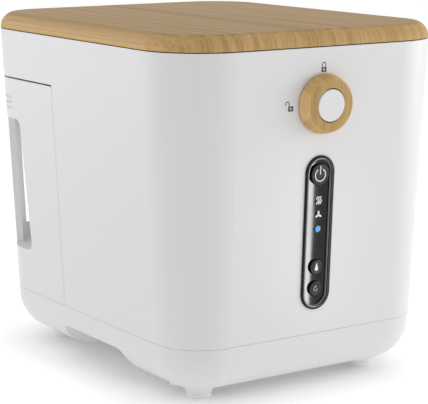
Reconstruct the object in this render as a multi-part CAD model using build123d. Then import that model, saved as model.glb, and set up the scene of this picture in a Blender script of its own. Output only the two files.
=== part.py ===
from build123d import *
import os
from math import acos, atan, cos, pi, radians, sin, sqrt, tan

# Electric food waste composter: a drafted box with a wooden lid hinged at the back, a locking knob and
# a capsule control panel on the front, a heated bin with a stirrer inside, and a filter drawer at the
# back. Millimetres, X to the right, Y to the back, Z up, floor at z = 0, front face towards -Y.

os.makedirs("parts", exist_ok=True)

# ---- Overall form ----
body_width = 270.0          # across the sides at the lid seat
body_depth = 332.5          # front to back at the lid seat
corner_radius = 54.0        # upright corners at the lid seat
draft_angle = 2.85          # every side leans in towards the floor
lid_seat_z = 283.0          # underside of the lid
base_seam_z = 49.0          # seam between casing and base tray
tray_bottom_z = 8.5
tray_round = 35.0           # rounding under the base tray
wall = 3.0                  # moulded casing wall
floor_thickness = 3.0       # base tray floor
lid_gap = 0.8               # dark line under the lid
seam_gap = 0.4              # lines between fixed mouldings
fit_gap = 0.2               # parts that drop into one another
running_fit = 0.05          # radial clearance of a turning shaft

# ---- Lid ----
lid_thickness = 12.8
lid_edge_inset = 9.4        # how far the rounded edge comes in at the top face
lid_edge_steps = 6
board_screw_depth = 7.0
liner_depth = 7.0           # liner below the board
liner_margin = 9.0          # liner edge to lid edge
liner_wall = 3.0
liner_boss_radius = 5.0
gasket_width = 5.0
soft_gap = 0.3              # soft seals stop short of what they press on
air_slot_width = 4.0
air_slot_length = 34.0
air_slot_count = 10
air_slot_ring = 42.0        # bin axis to the middle of a slot
lid_screw_length = 10.0
lid_screw_insets = ((35.0, 48.25, -1), (31.0, 106.25, 1), (75.0, 36.25, 1))  # side, end, which end
strike_arm = (-1.0, 6.0)     # hook's bar across the front
strike_leg = (3.0, 6.0)
strike_pad = (-8.0, 12.0)
strike_half_depth = 3.0
strike_bar_height = 3.0
strike_pad_thickness = 2.0

# ---- Hinges ----
hinge_side_margin = 63.0    # hinge centre from the side face
hinge_drop = 1.0            # pivot below the lid seat
hinge_standoff = 5.2        # pivot behind the rear face
knuckle_radius = 4.0
knuckle_length = 10.0
knuckle_gap = 0.4           # between neighbouring knuckles
lid_knuckle_length = 14.0
hinge_pin_radius = 1.5
leaf_thickness = 2.0
lid_leaf_reach = 34.0
lid_leaf_half_width = 12.0
leaf_screw_inset = 5.0      # from the leaf's end
leaf_screw_shift = 7.0
leaf_screw_bite = 7.0       # into the board
case_screw_drop = 18.0      # below the pivot
case_screw_shift = 10.0
notch_gap = 1.0             # round the lid leaves in the rear rim
body_leaf_height = 26.0

# ---- Deck and bin ----
deck_drop = 15.0            # deck's underside below the lid seat
deck_thickness = 4.0
bin_front_margin = 28.25    # bin from the front face
bin_radius = 80.0
bin_wall = 1.6
bin_floor_z = 110.5
bin_floor = 2.4
bush_height = 7.0
bin_rim_width = 6.0
bin_rim_thickness = 1.6
bin_gap = 1.5               # bin to well
bin_foot_round = 4.0
bin_floor_round = 3.0
bin_boss_wall = 4.0
fin_half_width = 2.0        # breaker fins on the bin's wall
fin_gap = 1.2               # stirrer arms to the fins
fin_lift = 10.0             # above the bin's underside
fin_rise = 30.0             # above the upper arms
lug_width = 26.0
lug_reach = 15.0
lug_well_inset = 3.0
lug_well_margin = 9.0       # past the lug's end
lug_well_floor = 1.2
strike_slot_half_width = 14.0
strike_slot_half_depth = 6.0
well_wall = 2.0
well_floor = 2.0
insulation_thickness = 3.0
insulation_drop = 46.0      # below the deck
insulation_lift = 4.0       # above the well's underside
well_rim_width = 4.0
well_rim_thickness = 2.0

# ---- Heater, chassis plate and drive ----
heater_thickness = 3.0
heater_radius = 75.0
heater_bore = 24.0
ring_inner_radius = 50.0
ring_outer_radius = 60.0
ring_height = 6.0
terminal_shift = 5.0
terminal_half = 2.0
thermostat_radius = 8.0
thermostat_reach = 12.0     # middle to the end of its tabs
thermostat_tab_half = 1.5
chassis_low_z = 93.2
chassis_thickness = 2.0
chassis_side_margin = 27.0  # from the side face
chassis_front = 54.0        # from the bin axis
chassis_back = 64.0
chassis_corner = 10.0
drive_bore = 21.0           # opening of the chassis plate round the coupling
post_inset = 10.0           # tray posts in from the chassis plate's edges
post_radius = 5.0
gear_face_low = 7.0
gear_face_high = 9.0
gear_gap = 1.5              # between gear faces and housing
gear_backlash = 0.16
motor_teeth = 12
idler_teeth = 48
first_module = 1.0
pinion_teeth = 14
output_teeth = 60
second_module = 1.25
dedendum = 1.25             # tooth root below the pitch circle, in modules
web_width = 6.0             # rim left outside the output gear's thinned web
web_thickness = 6.0
pressure_angle = 20.0
gearbox_low_z = 62.0
gearbox_wall = 3.0
tip_gap = 1.6
boss_hole_depth = 12.0
bearing_seat_wall = 2.0
shaft_clearance = 1.0
motor_radius = 21.0
motor_round = 3.0
motor_tab_shift = 9.0
motor_tab_half = 2.0
motor_tab_length = 4.0
motor_height = 46.0
motor_shaft_radius = 2.0
idler_axle_radius = 2.5
shaft_radius = 6.0
bearing_radius = 11.0
bearing_height = 5.0

# ---- Stirrer ----
hub_radius = 12.0
arm_reach = 74.0
arm_height = 14.0
arm_thickness = 6.0
arm_pitch = 28.0
arm_rows = 3
arm_lift = 13.5             # lowest arms above the bin's underside
arm_spacing = 19.0
arm_turn = 60.0
hub_roof = 6.0               # closed end of the hub over the shaft
cross_radius = 15.0
cross_width = 6.0
cross_height = 6.0
coupling_gap = 2.0
coupling_wall = 3.0
coupling_floor = 5.0

# ---- Knob and latch ----
knob_z = 237.9
knob_radius = 24.0
knob_depth = 12.4
knob_eye_radius = 13.7
knob_lift = 0.9             # ring's underside above the casing
knob_foot_step = 0.9
knob_widest = 2.6           # height of the widest place
knob_side_step = 2.0        # in from the rim to the top of the side
knob_side_drop = 2.4        # top of the side below the face
knob_crown_step = 4.4       # in from the rim to where the face begins
knob_crown_drop = 0.45
knob_foot_bow = 0.25         # how far each stretch of the outline bulges
knob_side_bow = 0.2
knob_edge_bow = 0.55
knob_face_bow = 0.1
knob_lip_step = 1.2         # face's inner edge outside the eye
knob_eye_drop = 1.4
hub_flange_thickness = 2.0
hub_top_drop = 3.5          # sleeve's top below the ring's face
hub_seat_drop = 6.0
hub_seat_wall = 1.5
cap_thickness = 3.4
cap_round = 1.0
cap_plug_wall = 1.7
cap_radius = 12.9
hub_flange_radius = 21.0
spindle_radius = 4.0
bush_radius = 7.0
bush_flange_radius = 10.0
latch_reach = 29.4          # top of the finger from the spindle axis
finger_height = 4.0
latch_thickness = 3.0
latch_depth = 9.0           # latch front face behind the casing's front face
hook_gap = 0.4
latch_arm = (-9.0, -3.5)
latch_finger_end = 2.0
latch_hub_radius = 8.5
rivet_width = 2.0
rivet_height = 1.5

# ---- Control panel ----
panel_z = 132.9
bezel_length = 126.8
bezel_width = 28.0
bezel_rim = 2.8
bezel_proud = 1.8
bezel_depth = 5.0
bezel_round = 0.9
bezel_skirt_step = 1.7      # body behind the flange, in from its edge
panel_recess = 0.6
panel_thickness = 2.4
power_inset = 15.4          # key centre from the bezel's upper end
power_radius = 8.8
lower_button_radius = 6.1
drop_inset = 35.3           # key centres from the bezel's lower end
timer_inset = 17.5
button_proud = 0.9
button_gap = 0.2
button_round = 0.5
stem_radius = 2.6
stem_length = 2.4
button_travel = 1.0
lamp_insets = (37.0, 48.8, 60.4)  # from the bezel's upper end
lamp_radius = 2.8
lamp_gap = 0.02
lamp_drop = 0.1             # below the panel's face
emitter_half = 2.0
emitter_height = 1.6
board_width = 23.0
board_thickness = 1.6
board_depth = 9.6           # board front face behind the casing's front face
switch_size = 6.0
switch_height = 2.0
plunger_radius = 1.6
chip_insets = (23.3, 19.3)  # outer chips from the bezel's upper and lower ends
middle_chip = -6.0          # from the panel's middle
chip_half_width = 7.0
chip_half_length = 5.0
chip_thickness = 2.0
board_end_gap = 4.0         # board's ends to the bezel's ends
board_screw_inset = 8.0
pillar_wall = 1.6

# ---- Filter drawer ----
bulkhead_gap = 5.3          # well insulation to the bulkhead
drawer_high_z = 241.0       # seam above the drawer
drawer_top_gap = 1.5
bulkhead_thickness = 3.0
ceiling_thickness = 2.5
bay_floor_thickness = 2.5
ledge_width = 4.0           # tray ledge under the bay floor
ledge_height = 8.0
drawer_lift = 0.6           # drawer floor above the bay floor
runner_side_margin = 73.0   # from the side face
runner_width = 9.0
runner_height = 5.0
runner_gap = 0.4
runner_end_gap = 6.0
grip_length = 74.25         # front end from the rear face
grip_low_z = 87.0
grip_high_z = 204.0
grip_sill_z = 101.0         # lower edge of the rear window
grip_head_z = 190.0         # upper edge of the rear window
grip_depth = 42.0
grip_width = 74.0           # inner end from the side face
grip_round = 7.0
grip_front_tilt = 4.4       # side window's front edge leans back
grip_post_half_angle = 9.0
grip_post_depth = 6.0
vent_zs = (213.5, 218.3, 223.0)
vent_height = 2.2
vent_length = 53.25         # front end from the rear face
vent_rib = 6.0
vent_pitch = 28.0
vent_rib_turns = (22.0, 60.0)
filter_middle_gap = 4.0     # from the middle plane
filter_side_gap = 12.0      # cartridge to the grips' inner walls
filter_front_gap = 6.8
filter_back_gap = 8.25
filter_height = 120.0
filter_wall = 2.0
grid_slot = 4.0
grid_pitch = 8.0
grid_margin = 10.0          # slot ends to the cartridge's side
grid_drop = 4.0             # grid below the cartridge's rim
grid_thickness = 3.0
filter_corner = 6.0

# ---- Exhaust fan and ducts ----
fan_side_margin = 37.0      # fan axis from the side face
fan_back_gap = 4.8          # fan to the bulkhead
fan_well_gap = 3.5          # fan's corner to the well insulation
fan_low_z = 205.0
fan_size = 40.0
fan_height = 20.0
fan_bore = 19.0
fan_hub_radius = 8.5
fan_tip_gap = 0.8
fan_blades = 7
fan_corner = 3.0
spider_half_width = 1.2
spider_thickness = 2.0
spider_hub_thickness = 2.5
fan_pin_radius = 1.5
blade_pitch = 38.0
blade_thickness = 1.2
blade_share = 0.9           # blade height in the wheel's height
duct_margin = 5.0           # duct's hollow inside the fan's outline
duct_wall = 2.0
port_width = 26.0
port_height = 12.0
port_z = 193.0

# ---- Base fittings ----
foot_side_margin = 52.0     # foot centres from the side and end faces
foot_end_margin = 53.25
foot_radius = 10.0
foot_height = 4.5           # pad below the tray's boss
foot_round = 1.2
foot_stud_radius = 6.0
foot_stud_length = 2.5
foot_boss_radius = 10.8     # boss over the pad
foot_flare_radius = 13.6    # boss where it meets the tray
foot_flare_sink = 0.5       # boss's end below the tray's inner floor
arch_front_y = -56.0
arch_back_y = 49.0
arch_high_z = 30.0
arch_depth = 43.0
motor_arch_gap = 3.0        # motor to the recess on its side
arch_round = 12.0
tie_radius = 5.5            # casing columns that the base screws hold
tie_front_offset = (60.0, -58.0)  # across from the middle, and from the bin axis
tie_back_x = 70.0
tie_back_gap = 4.8          # column's axis in front of the bulkhead
screw_radius = 1.6
screw_head_radius = 3.2
screw_head_height = 2.0
screw_length = 14.0
chassis_screw_length = 12.0
standoff_radius = 4.0
boss_radius = 4.5           # gearbox screw bosses
boss_offset = 2.0           # boss centre outside the gearbox wall
standoff_inset = 7.0         # in from the heater plate's edge
inlet_side_margin = 75.0    # socket's middle from the side face
inlet_z = 32.0
inlet_width = 27.5
inlet_height = 19.5
inlet_depth = 22.0
inlet_inset = 24.25         # socket's face from the rear face
pocket_margin = 3.0
inlet_flange = 2.0
inlet_flange_thickness = 1.5
inlet_wall = 2.0
inlet_mouth_depth = 15.0
pin_places = ((-7.0, 0.0), (7.0, 0.0), (0.0, 3.5))
pin_half_width = 1.0
pin_half_height = 2.0
pin_drop = 2.0              # pin tips below the socket's face
supply_side_margin = 68.0   # board's middle from the side face
supply_back = 8.0           # board's middle behind the bin axis
supply_width = 46.0
supply_length = 92.0
supply_z = 40.0
supply_post_inset = 5.0
supply_post_radius = 3.0
supply_core = ((-14.0, 12.0), (-34.0, -8.0), 22.0)
supply_can_radius = 7.0
supply_can_height = 24.0
supply_can_x = -10.0
supply_can_ys = (8.0, 24.0)
supply_block_x = (4.0, 18.0)
supply_block_ys = (6.0, 22.0)
supply_block_half = 5.0
supply_block_height = 14.0

# ---- Values that follow ----
draft_slope = tan(radians(draft_angle))
corner_x = body_width / 2 - corner_radius
corner_y = body_depth / 2 - corner_radius
shell_high_z = lid_seat_z - lid_gap
shell_low_z = base_seam_z + seam_gap / 2
tray_high_z = base_seam_z - seam_gap / 2
tray_floor_z = tray_bottom_z + floor_thickness
deck_low_z = lid_seat_z - deck_drop
deck_high_z = deck_low_z + deck_thickness
lid_screw_sites = [(body_width / 2 - side, sense * (body_depth / 2 - end))
                   for side, end, sense in lid_screw_insets]
hinge_x = body_width / 2 - hinge_side_margin
foot_x = body_width / 2 - foot_side_margin
foot_y = body_depth / 2 - foot_end_margin
inlet_x = body_width / 2 - inlet_side_margin
inlet_plane_y = body_depth / 2 - inlet_inset
bin_y = bin_front_margin + bin_radius - body_depth / 2
liner_low_z = lid_seat_z - liner_depth
well_inner = bin_radius + bin_gap
well_radius = well_inner + well_wall
well_floor_low = bin_floor_z - soft_gap - well_floor
bin_rim_low = deck_high_z
mouth_radius = bin_radius + fit_gap
heater_low_z = well_floor_low - heater_thickness
ring_low_z = heater_low_z - ring_height
chassis_high_z = chassis_low_z + chassis_thickness
gearbox_high_z = chassis_low_z - gearbox_wall
first_gear_z = gearbox_low_z + gearbox_wall + gear_gap
second_gear_z = first_gear_z + gear_face_low + gear_gap
idler_x = (pinion_teeth + output_teeth) * second_module / 2
motor_x = idler_x + (motor_teeth + idler_teeth) * first_module / 2
bay_low_z = base_seam_z - seam_gap / 2
bay_deck_z = bay_low_z + bay_floor_thickness
drawer_low_z = bay_deck_z + drawer_lift
drawer_top_z = drawer_high_z - drawer_top_gap
tie_front = (tie_front_offset[0], bin_y + tie_front_offset[1])
insulation_high_z = deck_low_z - insulation_drop
chassis_half_width = body_width / 2 - chassis_side_margin
chassis_front_y = bin_y - chassis_front
chassis_back_y = bin_y + chassis_back
post_x = chassis_half_width - post_inset
post_front_y = chassis_front_y + post_inset
post_back_y = chassis_back_y - post_inset
supply_x = supply_side_margin - body_width / 2
supply_y = bin_y + supply_back
arm_levels = [bin_floor_z + arm_lift + row * arm_spacing for row in range(arm_rows)]
hub_high_z = arm_levels[-1] + arm_height
panel_high_z = panel_z + bezel_length / 2
panel_low_z = panel_z - bezel_length / 2
power_z = panel_high_z - power_inset
drop_z = panel_low_z + drop_inset
timer_z = panel_low_z + timer_inset
lamp_zs = [panel_high_z - inset for inset in lamp_insets]
chip_places = (bezel_length / 2 - chip_insets[0], middle_chip, chip_insets[1] - bezel_length / 2)
well_reach = well_radius + insulation_thickness
fan_x = body_width / 2 - fan_side_margin
fan_reach = well_reach + fan_well_gap + fan_size / sqrt(2)
fan_back_y = bin_y + sqrt(max(fan_reach ** 2 - fan_x ** 2, 0)) + fan_size / 2
bulkhead_y = max(bin_y + well_reach + bulkhead_gap, fan_back_y + fan_back_gap)
tie_back = (tie_back_x, bulkhead_y - tie_back_gap)
fan_y = bulkhead_y - fan_back_gap - fan_size / 2
drawer_front_y = bulkhead_y + bulkhead_thickness
drawer_face_y = drawer_front_y + seam_gap
runner_x = body_width / 2 - runner_side_margin
grip_front_y = body_depth / 2 - grip_length
grip_inner_x = body_width / 2 - grip_width
vent_start_y = body_depth / 2 - vent_length
filter_outer_x = body_width / 2 - grip_depth - wall - filter_side_gap
filter_back_y = body_depth / 2 - grip_depth - wall - filter_back_gap
filter_front_y = drawer_face_y + wall + filter_front_gap
filter_width = filter_outer_x - filter_middle_gap
filter_length = filter_back_y - filter_front_y
filter_x = (filter_middle_gap + filter_outer_x) / 2
filter_y = (filter_front_y + filter_back_y) / 2
rear_pivot_y = body_depth / 2 + hinge_standoff
pivot_z = lid_seat_z - hinge_drop


# ---- Shared shapes ----
def block(x_span, y_span, z_span):
    """Box between two limits along each axis."""
    spans = (x_span, y_span, z_span)
    size = [max(span) - min(span) for span in spans]
    centre = [(max(span) + min(span)) / 2 for span in spans]
    return Pos(*centre) * Box(*size)


def rod(radius, low, high, x=0.0, y=0.0):
    """Upright cylinder between two heights."""
    upright = (Align.CENTER, Align.CENTER, Align.MIN)
    return Pos(x, y, low) * Cylinder(radius, high - low, align=upright)


def tube(outer, inner, low, high, x=0.0, y=0.0):
    """Upright ring between two heights."""
    return rod(outer, low, high, x, y) - rod(inner, low - 1, high + 1, x, y)


def both_sides(part):
    """The part and its mirror image across the middle plane."""
    return [part, mirror(part, about=Plane.YZ)]


def merge(parts):
    """One shape from several that touch or overlap."""
    whole = parts[0]
    for part in parts[1:]:
        whole = whole + part
    return whole


def save(name, *solids):
    """Write one node: its single solid, or its group of separate solids."""
    shape = solids[0] if len(solids) == 1 else Compound(children=list(solids))
    export_step(shape, f"parts/{name}.step")


def lean(z):
    """How far the sides have moved in at height z."""
    return (lid_seat_z - z) * draft_slope


def plan_face(z, inset=0.0):
    """Rounded outline of the body at height z, moved inward by inset."""
    shrink = lean(z) + inset
    outline = RectangleRounded(body_width - 2 * shrink, body_depth - 2 * shrink, corner_radius - shrink)
    return Plane.XY.offset(z) * outline


def body_block(low, high, inset=0.0):
    """Drafted block of the body between two heights."""
    return extrude(plan_face(high, inset), amount=high - low, dir=(0, 0, -1), taper=draft_angle)


def ring_wall(low, high, outer_inset, thickness):
    """Drafted band that follows the body's outline."""
    return body_block(low, high, outer_inset) - body_block(low - 1, high + 1, outer_inset + thickness)


def front_y(z):
    """Front face at height z."""
    return lean(z) - body_depth / 2


def front_frame(z):
    """Plane on the front face: x to the right, y up the face, z out of it."""
    angle = radians(draft_angle)
    return Plane(origin=(0, front_y(z), z), x_dir=(1, 0, 0), z_dir=(0, -cos(angle), -sin(angle)))


def stud(radius, near, far):
    """Cylinder along a frame's own z axis."""
    return rod(radius, min(near, far), max(near, far))


def screw(head_z, x=0.0, y=0.0, up=True, length=screw_length):
    """Upright screw whose head starts at head_z and whose shank points up or down."""
    sense = 1 if up else -1
    neck_z = head_z + sense * screw_head_height
    tip_z = neck_z + sense * length
    head = rod(screw_head_radius, min(head_z, neck_z), max(head_z, neck_z), x, y)
    shank = rod(screw_radius, min(neck_z, tip_z), max(neck_z, tip_z), x, y)
    return head + shank


def screw_room(head_z, x=0.0, y=0.0, up=True, length=screw_length):
    """Hole that a screw fills, with the shank's own size and a free head."""
    sense = 1 if up else -1
    neck_z = head_z + sense * screw_head_height
    tip_z = neck_z + sense * length
    head = rod(screw_head_radius + fit_gap, min(head_z - sense, neck_z), max(head_z - sense, neck_z), x, y)
    return head + rod(screw_radius, min(neck_z, tip_z), max(neck_z, tip_z), x, y)


# ---- Base ----
def base_screw_places():
    """Columns of the casing that the tray is screwed to."""
    return [(sx * x, y) for x, y in (tie_front, tie_back) for sx in (1, -1)]


def post_places():
    """Tray posts that carry the chassis plate."""
    return [(sx * post_x, y) for y in (post_front_y, post_back_y) for sx in (1, -1)]


def foot_places():
    """Middles of the feet."""
    return [(sx * foot_x, sy * foot_y) for sy in (-1, 1) for sx in (1, -1)]


def supply_places():
    """Corner pillars of the power board."""
    half_x = supply_width / 2 - supply_post_inset
    half_y = supply_length / 2 - supply_post_inset
    return [(supply_x + sx * half_x, supply_y + sy * half_y) for sy in (-1, 1) for sx in (-1, 1)]


def tray_volume(low, inset, rounding):
    """Rounded-bottom block of the tray."""
    blank = body_block(low, tray_high_z, inset)
    foot_edges = blank.edges().filter_by(lambda edge: abs(edge.center().Z - low) < 0.01)
    return fillet(foot_edges, rounding)


def arch_space(inner_x, grow):
    """Hand-hold recess in the right side of the tray, as deep as a plane across X."""
    space = block((inner_x - grow, body_width), (arch_front_y - grow, arch_back_y + grow),
                  (-10, arch_high_z + grow))
    roof = space.edges().filter_by(Axis.X).group_by(Axis.Z)[-1]
    return fillet(roof, arch_round + grow)


def arch_spaces(grow=0.0):
    """Both hand-hold recesses: the right one stops short of the motor."""
    deep_x = body_width / 2 - lean(tray_high_z) - arch_depth
    motor_side_x = motor_x + motor_radius + motor_arch_gap + wall
    right = arch_space(max(deep_x, motor_side_x), grow)
    return [right, mirror(arch_space(deep_x, grow), about=Plane.YZ)]


def inlet_pocket(grow=0.0):
    """Recess in the rear of the tray for the mains socket."""
    half_x = inlet_width / 2 + pocket_margin + grow
    half_z = inlet_height / 2 + pocket_margin + grow
    return block((inlet_x - half_x, inlet_x + half_x), (inlet_plane_y - grow, body_depth),
                 (inlet_z - half_z, inlet_z + half_z))


def base_tray():
    """Tub with posts, hand-hold arches, foot recesses and a ledge for the bay floor."""
    outer = tray_volume(tray_bottom_z, 0, tray_round)
    hollow = tray_volume(tray_floor_z, wall, tray_round - wall)
    skins = [outer & arch for arch in arch_spaces(wall)]
    skins.append(outer & inlet_pocket(wall))
    ledge = outer & drawer_region(bay_low_z - ledge_height, bay_low_z, drawer_front_y)
    ledge = ledge - body_block(0, lid_seat_z, wall + ledge_width)
    tray = merge([outer - hollow] + skins + [ledge])
    for x, y in post_places():
        tray = tray + (rod(post_radius, tray_bottom_z + 1, chassis_low_z, x, y) & tray_reach())
    for x, y in supply_places():
        tray = tray + rod(supply_post_radius, tray_bottom_z + 1, supply_z, x, y)
    for cut in arch_spaces():
        tray = tray - cut
    tray = tray - inlet_pocket()
    tray = tray - block((inlet_x - inlet_width / 2 - fit_gap, inlet_x + inlet_width / 2 + fit_gap),
                        (inlet_plane_y - 5, inlet_plane_y + 1),
                        (inlet_z - inlet_height / 2 - fit_gap, inlet_z + inlet_height / 2 + fit_gap))
    for x, y in foot_places():
        tray = tray + foot_boss(x, y)
        tray = tray - rod(foot_stud_radius + fit_gap, 0, foot_height + foot_stud_length + fit_gap, x, y)
    for x, y in base_screw_places():
        tray = tray - screw_room(tray_bottom_z - 1, x, y)
    for x, y in post_places():
        tray = tray - rod(screw_radius, chassis_low_z - chassis_screw_length, chassis_low_z + 1, x, y)
    return tray


def foot_boss(x, y):
    """Flared boss of the tray over a foot."""
    upright = (Align.CENTER, Align.CENTER, Align.MIN)
    height = tray_floor_z - foot_flare_sink - foot_height
    return Pos(x, y, foot_height) * Cone(foot_boss_radius, foot_flare_radius, height, align=upright)


def tray_reach():
    """Space that the tray's posts may fill."""
    return block((-body_width, body_width), (-body_depth, body_depth), (tray_bottom_z, chassis_low_z))


def rubber_feet():
    """Feet with a rounded lower edge and a stud in the tray's boss."""
    feet = []
    for x, y in foot_places():
        pad = rod(foot_radius, 0, foot_height, x, y)
        pad = fillet(pad.edges().group_by(Axis.Z)[0], foot_round)
        feet.append(pad + rod(foot_stud_radius, foot_height - 1, foot_height + foot_stud_length, x, y))
    return feet


def bay_floor():
    """Sheet under the drawer."""
    plate = body_block(bay_low_z, bay_deck_z, wall + fit_gap)
    return plate & block((-body_width, body_width), (drawer_front_y, body_depth), (0, lid_seat_z))


def runner_span():
    """Ends of the drawer runners along Y."""
    rear = body_depth / 2 - lean(bay_low_z) - wall - runner_end_gap
    return (drawer_face_y + wall, rear - wall)


def drawer_runners():
    """Rails on the bay floor."""
    low_y, high_y = runner_span()
    rail = block((runner_x - runner_width / 2, runner_x + runner_width / 2), (low_y, high_y),
                 (bay_deck_z, bay_deck_z + runner_height))
    return both_sides(rail)


# ---- Casing ----
def drawer_bay():
    """Space behind the bulkhead that the drawer fills, right through the casing's skin."""
    return block((-body_width, body_width), (drawer_front_y, body_depth), (-10, drawer_high_z))


def deck_boss_places():
    """Bosses under the deck, in the four corners."""
    reach = (corner_radius - wall - 5) / sqrt(2)
    return [(sx * (corner_x + reach), sy * (corner_y + reach)) for sy in (-1, 1) for sx in (1, -1)]


def capsule(length, width, near, far):
    """Upright rounded bar in a front frame."""
    outline = Rot(0, 0, 90) * SlotOverall(length, width)
    return extrude(Pos(0, 0, near) * outline, amount=far - near)


def hinge_notches():
    """Gaps in the rear rim for the lid leaves."""
    half = lid_knuckle_length / 2 + notch_gap
    notch = block((hinge_x - half, hinge_x + half), (body_depth / 2 - wall - 4, body_depth),
                  (pivot_z - knuckle_radius - notch_gap, lid_seat_z + 1))
    return both_sides(notch)


def port_space(low_y, high_y, grow=0.0):
    """Rectangular air port between the outlet duct and the drawer."""
    half_x = port_width / 2 + grow
    half_z = port_height / 2 + grow
    return block((fan_x - half_x, fan_x + half_x), (low_y, high_y), (port_z - half_z, port_z + half_z))


def main_shell():
    """Casing: front and sides, band above the drawer, bulkhead and bay ceiling."""
    inside = body_block(shell_low_z, shell_high_z, 0.5)
    skin = ring_wall(shell_low_z, shell_high_z, 0, wall)
    bulkhead = inside & block((-body_width, body_width), (bulkhead_y, drawer_front_y),
                              (shell_low_z, drawer_high_z + ceiling_thickness))
    ceiling = inside & block((-body_width, body_width), (bulkhead_y, body_depth),
                             (drawer_high_z, drawer_high_z + ceiling_thickness))
    shell = skin + bulkhead + ceiling
    for x, y in deck_boss_places():
        low = drawer_high_z if y > 0 else deck_low_z - 24
        shell = shell + (rod(tie_radius, low, deck_low_z, x, y) & inside)
    web_high_z = chassis_low_z - 3
    for side in (1, -1):
        x, y = side * tie_front[0], tie_front[1]
        web = block((x - 1.25, x + 1.25), (-body_depth / 2, y), (shell_low_z + 2, web_high_z))
        shell = shell + (web & inside) + rod(tie_radius, tray_floor_z, web_high_z, x, y)
        x, y = side * tie_back[0], tie_back[1]
        shell = shell + rod(tie_radius, tray_floor_z, web_high_z, x, y)
    shell = shell - drawer_bay()
    for x, y in base_screw_places():
        shell = shell - rod(screw_radius, 0, tray_floor_z + screw_length, x, y)
    for x, y in deck_boss_places():
        shell = shell - rod(screw_radius, deck_low_z - screw_length, deck_low_z + 1, x, y)
    cut_out = front_frame(panel_z) * capsule(bezel_length - 3, bezel_width - 3, -2 * wall, 2)
    shell = shell - cut_out - front_frame(knob_z) * stud(bush_radius + fit_gap, -2 * wall, 2)
    for notch in hinge_notches():
        shell = shell - notch
    for x, z in body_leaf_screw_places():
        shell = shell - rear_screw_shank(x, z)
    return shell - port_space(bulkhead_y - 1, drawer_front_y + 1)


def base_screws():
    """Screws through the tray into the casing's columns."""
    return [screw(tray_bottom_z - 1, x, y) for x, y in base_screw_places()]


# ---- Deck, well and bin ----
def lug_space(grow, low, high):
    """Finger lugs at the left and right of the bin's rim."""
    half = lug_width / 2 + grow
    reach = bin_radius + bin_rim_width + lug_reach + grow
    lug = block((-reach, reach), (bin_y - half, bin_y + half), (low, high))
    return lug - rod(bin_radius - 1, low - 1, high + 1, 0, bin_y)


def strike_slot():
    """Opening in the deck for the lid's strike and the latch finger."""
    centre_y = front_y(knob_z + latch_reach) + latch_depth + latch_thickness / 2
    return block((-strike_slot_half_width, strike_slot_half_width),
                 (centre_y - strike_slot_half_depth, centre_y + strike_slot_half_depth),
                 (deck_low_z - 1, deck_high_z + 1))


def top_deck():
    """Deck inside the rim with the bin mouth, finger wells, air opening and strike slot."""
    deck = body_block(deck_low_z, deck_high_z, wall + seam_gap)
    deck = deck - rod(mouth_radius, deck_low_z - 1, deck_high_z + 1, 0, bin_y)
    deck = deck - strike_slot() - duct_hollow(deck_low_z - 1, deck_high_z + 1)
    for x, y in deck_boss_places():
        deck = deck - screw_room(deck_high_z, x, y, up=False)
    finger_y = lug_width / 2 - lug_well_inset
    for side in (1, -1):
        near_x = side * (bin_radius + bin_rim_width + lug_well_inset)
        far_x = side * (bin_radius + bin_rim_width + lug_reach + lug_well_margin)
        well = block((near_x, far_x), (bin_y - finger_y, bin_y + finger_y),
                     (deck_low_z + lug_well_floor, deck_high_z + 1))
        deck = deck - well
    return deck


def deck_screws():
    """Screws of the deck."""
    return [screw(deck_high_z, x, y, up=False) for x, y in deck_boss_places()]


def bin_well():
    """Heated cup under the deck with a turned-out rim."""
    cup = rod(well_radius, well_floor_low, deck_low_z, 0, bin_y)
    cup = cup - rod(well_inner, well_floor_low + well_floor, deck_low_z + 1, 0, bin_y)
    rim = tube(well_radius + well_rim_width, well_inner, deck_low_z - well_rim_thickness, deck_low_z,
               0, bin_y)
    return cup + rim - rod(heater_bore, 0, bin_floor_z, 0, bin_y)


def well_insulation():
    """Felt sleeve round the well."""
    return tube(well_radius + insulation_thickness, well_radius + fit_gap,
                well_floor_low + insulation_lift, insulation_high_z, 0, bin_y)


def heater_plate():
    """Plate under the well."""
    return tube(heater_radius, heater_bore, heater_low_z, well_floor_low, 0, bin_y)


def heater_ring():
    """Flat-topped heating element with its two terminals."""
    ring = tube(ring_outer_radius, ring_inner_radius, ring_low_z, heater_low_z, 0, bin_y)
    middle = (ring_outer_radius + ring_inner_radius) / 2
    for side in (-1, 1):
        x = side * terminal_shift
        terminal = block((x - terminal_half, x + terminal_half),
                         (bin_y + middle - terminal_half, bin_y + middle + terminal_half),
                         (chassis_high_z + 1, ring_low_z))
        ring = ring + terminal
    return ring


def thermostat():
    """Snap disc thermostat with its two tabs, under the heater plate."""
    x = -(heater_bore + ring_inner_radius) / 2
    body = rod(thermostat_radius, ring_low_z + 1, heater_low_z, x, bin_y)
    tabs = block((x - thermostat_tab_half, x + thermostat_tab_half),
                 (bin_y - thermostat_reach, bin_y + thermostat_reach), (ring_low_z + 2, ring_low_z + 3))
    return body + tabs


def standoff_places():
    """Pillars of the chassis plate that carry the heater plate and well."""
    reach = heater_radius - standoff_inset
    angles = (45, 135, 225, 315)
    return [(reach * cos(radians(a)), bin_y + reach * sin(radians(a))) for a in angles]


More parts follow.
